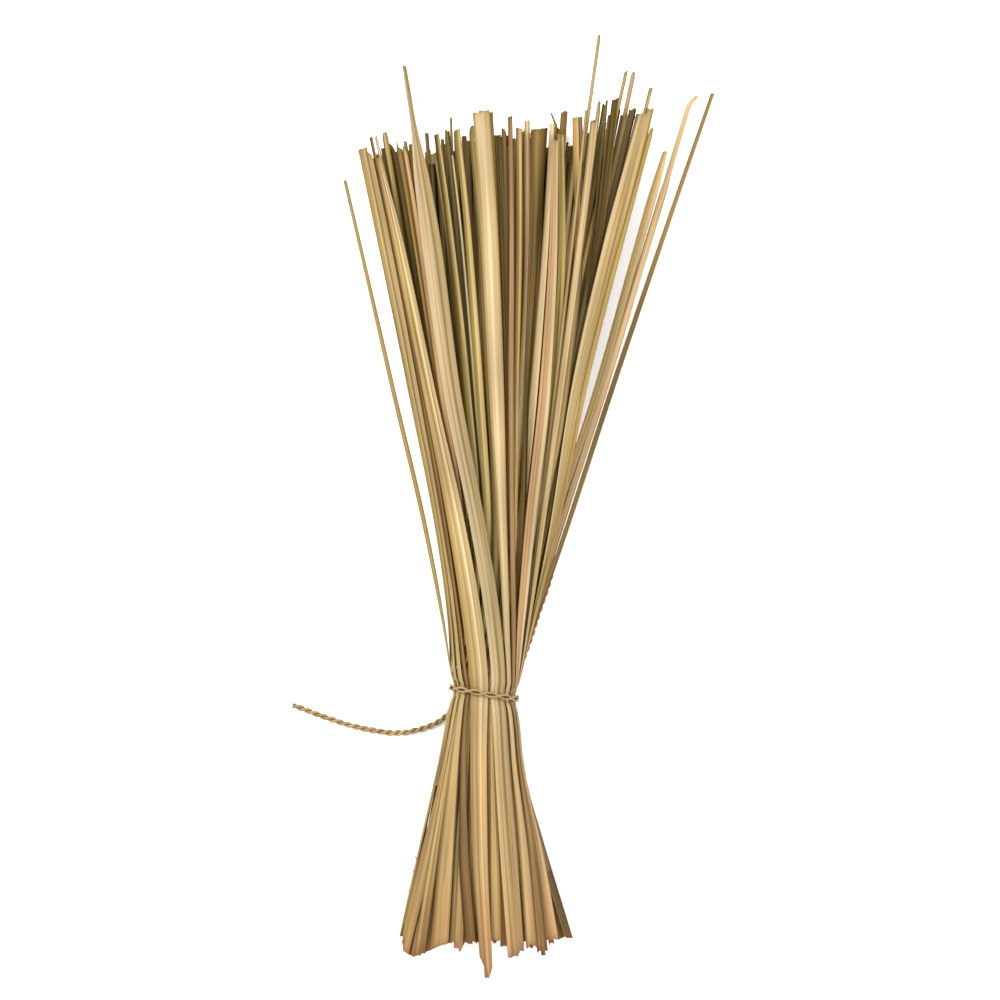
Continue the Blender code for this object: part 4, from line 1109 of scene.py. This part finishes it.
class InnerOutline:
    """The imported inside's outline: at each station the reach from its centre, by the angle round
    it from straight up, positive to the right. Between stations it is interpolated, and past the
    last ones it goes on in their direction."""

    def __init__(self):
        places = mesh_places("inner_grass")
        ys, counts = np.unique(np.round(places[:, 1], 5), return_counts=True)
        self.ys = ys[counts > STATION_PLACES]
        angles = np.linspace(-math.pi, math.pi, ANGLE_STEPS + 1)
        centres, reaches = [], []
        for y in self.ys:
            ring = places[np.abs(places[:, 1] - y) < 2e-5][:, [0, 2]]
            centre = (ring.min(axis=0) + ring.max(axis=0)) / 2
            out = ring - centre
            angle = np.arctan2(out[:, 0], out[:, 1])
            order = np.argsort(angle)
            reach = np.linalg.norm(out, axis=1)[order]
            centres.append(centre)
            reaches.append(np.interp(angles, angle[order], reach, period=2 * math.pi))
        self.centres, self.reaches = np.array(centres), np.array(reaches)

    def point(self, y, angle, scale):
        """Places at these Ys, at one angle each, at this share of the outline."""
        i = np.clip(np.searchsorted(self.ys, y) - 1, 0, len(self.ys) - 2)
        t = (y - self.ys[i]) / (self.ys[i + 1] - self.ys[i])
        position = (angle + math.pi) / (2 * math.pi) * ANGLE_STEPS % ANGLE_STEPS
        k = np.minimum(position.astype(int), ANGLE_STEPS - 1)
        f = position - k
        near = self.reaches[i, k] * (1 - f) + self.reaches[i, k + 1] * f
        far = self.reaches[i + 1, k] * (1 - f) + self.reaches[i + 1, k + 1] * f
        reach = (near + (far - near) * t) * scale
        centre = self.centres[i] + (self.centres[i + 1] - self.centres[i]) * t[:, None]
        out = np.stack([np.sin(angle), np.cos(angle)], axis=1) * reach[:, None]
        return np.stack([centre[:, 0] + out[:, 0], y, centre[:, 1] + out[:, 1]], axis=1)


def track_about(centre, across, width, fold):
    """A blade's way and its left edge, ridge and right edge beside a middle line. The ridge is
    raised along the normal by a share of the width, its fold."""
    half = across * (width / 2)[:, None]
    normal = np.stack([-across[:, 2], 0 * width, across[:, 0]], axis=1)
    ridge = centre + normal * (width * fold)[:, None]
    return distances(centre), np.concatenate([centre - half, ridge, centre + half], axis=1)


# How flat an inner blade lies on the outline, the Ys of its track from the layout's zero, where the
# tie is among them, and the steps along the blades that show and along a barb
LAID_FLAT = 0.9
INNER_KNOT_YS = np.array([-158.0, -110.0, -60.0, -22.0, 2.0, 26.0, 70.0, 140.0, 230.0, 364.0]) * MM
INNER_TIE_Y = 2 * MM
SHOWN_ROWS = 34
BARB_ROWS = 6


def inner_track(outline, angles, scales, widths, butt_y, tip_y, roll):
    """The track of an inner blade: it keeps its angle and its share of the outline, and lies along
    the outline, flatter at the top and the underside, turned by its roll. Its Ys are those of the
    knots, stretched from the tie to its own butt and tip."""
    share = (INNER_KNOT_YS - INNER_KNOT_YS[0]) / np.ptp(INNER_KNOT_YS)
    stretch = (tip_y - INNER_TIE_Y) / (INNER_KNOT_YS[-1] - INNER_TIE_Y)
    y = LAYOUT_ZERO[1] + np.where(
        INNER_KNOT_YS < INNER_TIE_Y,
        INNER_KNOT_YS * butt_y / INNER_KNOT_YS[0],
        INNER_TIE_Y + (INNER_KNOT_YS - INNER_TIE_Y) * stretch,
    )
    angle, scale, width = (
        np.interp(share, np.linspace(0, 1, len(values)), values) for values in (angles, scales, widths)
    )
    centre = outline.point(y, angle, scale)
    ahead = outline.point(y, angle + 0.02, scale)
    tangent = unit((ahead - centre)[:, [0, 2]])
    tangent = unit(tangent + LAID_FLAT * np.stack([np.cos(angle), 0 * angle], axis=1))
    turn = roll * smoothstep(np.abs(y - LAYOUT_ZERO[1]), 0.01, 0.12)
    c, s = np.cos(turn), np.sin(turn)
    flat = tangent[:, 0] * c - tangent[:, 1] * s
    steep = tangent[:, 0] * s + tangent[:, 1] * c
    return track_about(centre, np.stack([flat, 0 * c, steep], axis=1), width, 0.10)


def inner_look(tone, tip, usual_level, dice, **own):
    """How an inner blade is dressed: by chance, but for its tone, its tip and what is its own."""
    left, right = dice.choice(["brown", "olive", "gold", "tan"], 2)
    return {
        **PLAIN_LOOK,
        "tones": (tone, left, right),
        # The ridge number is the strength of the painted highlight along the ridge
        "ridge": dice.uniform(0.0, 0.4),
        "ridge_highlight_at": (*dice.uniform(-0.4, 0.4, 2), 0.35),
        "fold": dice.uniform(1.3, 2.0),
        "tip": tip,
        "butt": dice.choice(UNDER_ENDS),
        "bend": dice.choice((-1.0, 1.0)),
        "ribbed": 0.0,
        "waved": 0.8,
        "curl": 0.06,
        "level": usual_level * dice.uniform(0.8, 1.2),
        "least_columns": 3,
        **own,
    }


def ring_blades(outline, scale, count, level, dice):
    """One ring of inner blades, evenly round the outline with some chance."""
    sizes = bpy.context.scene.grass_blades
    tip_line_y = np.array([LAYOUT_ZERO[1] + TIP_LINE])
    parts = []
    for i in range(count):
        angle = (i + dice.uniform(-0.3, 0.3)) / count * 2 * math.pi - math.pi
        angles = angle + dice.uniform(-0.05, 0.05, 3)
        scales = scale * np.array([dice.uniform(0.96, 1.02), 1.0, dice.uniform(0.94, 1.02)])
        wide = sizes.inner_width * dice.uniform(0.65, 1.3)
        widths = np.array([wide, 0.45 * wide, 0.8 * wide, wide, wide * dice.uniform(0.45, 0.9)])
        tip_x = outline.point(tip_line_y, angles[-1:], scales[-1:])[0, 0] - LAYOUT_ZERO[0]
        tip_y = TIP_LINE + TIP_LINE_SLANT * tip_x + dice.uniform(-26, 0) * MM
        butt_y = BUTT_LINE + dice.uniform(-2, 16) * MM
        roll = dice.normal(0.0, 0.35)
        way, track = inner_track(outline, angles, scales, widths, butt_y, tip_y, roll)
        tone = INNER_TONES[dice.integers(len(INNER_TONES))]
        # The ring's tone level darkens its blades: painted shade inside the bunch
        look = inner_look(tone, dice.choice(UNDER_ENDS), level, dice)
        parts.append(blade_arrays(way, track, look, sizes.inner_rows, dice))
    return parts


def shown_inner_blades(outline, dice):
    """The inner blades whose tips show between the front ones. A tip's X gives the blade's angle
    round the outline, read from a fan of angles over the bunch's upper side."""
    fan = np.linspace(-1.45, 1.45, 61)
    parts = []
    for tip_x, tip_y, tip_width, tone, form in SHOWN_INNER_TIPS:
        y = np.full(len(fan), LAYOUT_ZERO[1] + min(tip_y, 372.0) * MM)
        places = outline.point(y, fan, np.full(len(fan), 0.97))
        angle = np.interp(LAYOUT_ZERO[0] + tip_x * MM, places[:, 0], fan)
        wide = max(tip_width * 1.25, 3.0) * MM
        widths = np.array([wide * 1.2, wide * 0.6, wide, wide, tip_width * MM])
        angles, scales = np.array([angle * 0.95, angle, angle]), np.array([0.97, 0.97, 0.985])
        butt_y = BUTT_LINE + dice.uniform(0, 10) * MM
        way, track = inner_track(outline, angles, scales, widths, butt_y, tip_y * MM, 0.0)
        look = inner_look(tone, form, 0.95, dice, least_columns=7, bend=-1.0)
        parts.append(blade_arrays(way, track, look, SHOWN_ROWS, dice))
    return parts


def between_track(front, x, y, width):
    """The track of a blade under a front one: it leaves the front blade's line by a share of the
    way from the tie to its own end, and past the front blade's end goes on in its direction."""
    _, track = blade_track(front)
    front_ys = track[:, 4]
    tie, own_end = LAYOUT_ZERO[1] + TIE_Y, LAYOUT_ZERO[1] + y * MM
    is_tip = y > 0
    low_y, high_y = (front_ys[0], own_end) if is_tip else (own_end, front_ys[-1])
    inside = front_ys[(front_ys > low_y + 12 * MM) & (front_ys < high_y - 12 * MM)]
    ys = np.concatenate([[low_y], inside, [high_y]])
    i = np.clip(np.searchsorted(front_ys, ys) - 1, 0, len(front_ys) - 2)
    t = ((ys - front_ys[i]) / (front_ys[i + 1] - front_ys[i]))[:, None]
    line = track[i] + (track[i + 1] - track[i]) * t
    across = unit((line[:, 6:] - line[:, :3]) * [1.0, 1.0, BETWEEN_FLATTER])
    centre = (line[:, :3] + line[:, 6:]) / 2
    aside = LAYOUT_ZERO[0] + x * MM - centre[-1 if is_tip else 0, 0]
    centre[:, 0] += aside * np.clip((ys - tie) / (own_end - tie), 0, 1)
    far = smoothstep(np.abs(ys - tie), 0.01, 0.06)
    centre[:, 2] -= UNDER_FRONT_AT_TIE + (UNDER_FRONT - UNDER_FRONT_AT_TIE) * far
    butt_width, tip_width = (BETWEEN_OTHER_BUTT, width) if is_tip else (width, BETWEEN_OTHER_TIP)
    places = [low_y, (low_y + tie) / 2, tie, tie + 0.2 * (high_y - tie), high_y]
    widths = [butt_width, butt_width, BETWEEN_WIDTH_AT_TIE, max(3.0, 1.1 * tip_width), tip_width]
    return track_about(centre, across, np.interp(ys, places, widths) * MM, 0.125)


def between_blades():
    """The blades that come out beside the front ones."""
    dice = np.random.default_rng(SEEDS["between"])
    parts = []
    for front, x, y, width, tone, level, form in BETWEEN_BLADES:
        way, track = between_track(front, x, y, width)
        look = inner_look(tone, form, 1.0, dice, level=level, least_columns=9)
        parts.append(blade_arrays(way, track, look, SHOWN_ROWS, dice))
    return parts


def barbs():
    """Short slivers that stand off a blade's left edge, each a narrowing strip with its foot in
    the blade."""
    dice = np.random.default_rng(SEEDS["barbs"])
    share = np.linspace(0, 1, 4)[:, None]
    parts = []
    for node, y, aside, ahead in BARBS:
        _, track = blade_track(node)
        edge = 0.85 * track[:, :3] + 0.15 * track[:, 6:]
        foot = places_at(edge, edge[:, 1], LAYOUT_ZERO[1] + y * MM)
        centre = foot + np.array([aside, ahead, 0.0]) * MM * share
        across = unit(np.array([ahead, -aside, 0.0])) * (0.45 - 0.3 * share) * MM
        track = np.concatenate([centre - across, centre + [0.0, 0.0, 0.05 * MM], centre + across], axis=1)
        way = np.hypot(aside, ahead) * MM * share[:, 0]
        parts.append(blade_arrays(way, track, inner_look("gold", "cut", 1.0, dice), BARB_ROWS, dice))
    return parts


class GRASS_OT_inner_blades(bpy.types.Operator):
    """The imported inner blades, in rings from the outline inwards"""

    bl_idname = "grass.inner_blades"
    bl_label = "Inner blades"

    def execute(self, context):
        dice = np.random.default_rng(SEEDS["inner"])
        outline = InnerOutline()
        shown = shown_inner_blades(outline, dice) + between_blades() + barbs()
        rings = [ring_blades(outline, *ring, dice) for ring in INNER_RINGS]
        groups = {
            "inner_blades_shown": shown,
            "inner_blades_outer": sum(rings[:OUTER_RINGS], []),
            "inner_blades_core": sum(rings[OUTER_RINGS:], []),
        }
        for name, parts in groups.items():
            piece = mesh_piece(name, *joined(parts), straw_finish("straw_olive"))
            dress(piece, "straw_olive", "inner_grass")
        return {"FINISHED"}


class GRASS_PT_panel(bpy.types.Panel):
    """Lists what the bunch is made of, in the order of making"""

    bl_idname = "GRASS_PT_panel"
    bl_label = "Dried grass"
    bl_space_type = "VIEW_3D"
    bl_region_type = "UI"
    bl_category = "Dried grass"

    def draw(self, context):
        scene = context.scene
        for group in (scene.grass_colours, scene.grass_blades, scene.grass_cord, scene.grass_stage):
            box = self.layout.box()
            for name in group.bl_rna.properties.keys():
                if name not in ("rna_type", "name"):
                    box.prop(group, name)
        for operator in OPERATORS:
            self.layout.operator(operator.bl_idname)


GROUPS = (
    ("grass_colours", StrawColours),
    ("grass_blades", BladeSizes),
    ("grass_cord", CordSizes),
    ("grass_stage", StageSettings),
)
OPERATORS = (
    GRASS_OT_stage,
    GRASS_OT_cord,
    GRASS_OT_front_blades,
    GRASS_OT_under_blades,
    GRASS_OT_inner_blades,
)


def register():
    """Make the settings, operators and panel known to Blender."""
    for name, group in GROUPS:
        bpy.utils.register_class(group)
        setattr(bpy.types.Scene, name, PointerProperty(type=group))
    for cls in (*OPERATORS, GRASS_PT_panel):
        bpy.utils.register_class(cls)


def unregister():
    """Take them out again, the last first."""
    for cls in reversed((*OPERATORS, GRASS_PT_panel)):
        bpy.utils.unregister_class(cls)
    for name, group in reversed(GROUPS):
        delattr(bpy.types.Scene, name)
        bpy.utils.unregister_class(group)


def main():
    """Make every piece in order."""
    register()
    bpy.ops.grass.stage()
    bpy.ops.grass.cord()
    bpy.ops.grass.front_blades()
    bpy.ops.grass.under_blades()
    bpy.ops.grass.inner_blades()


if __name__ == "__main__":
    main()
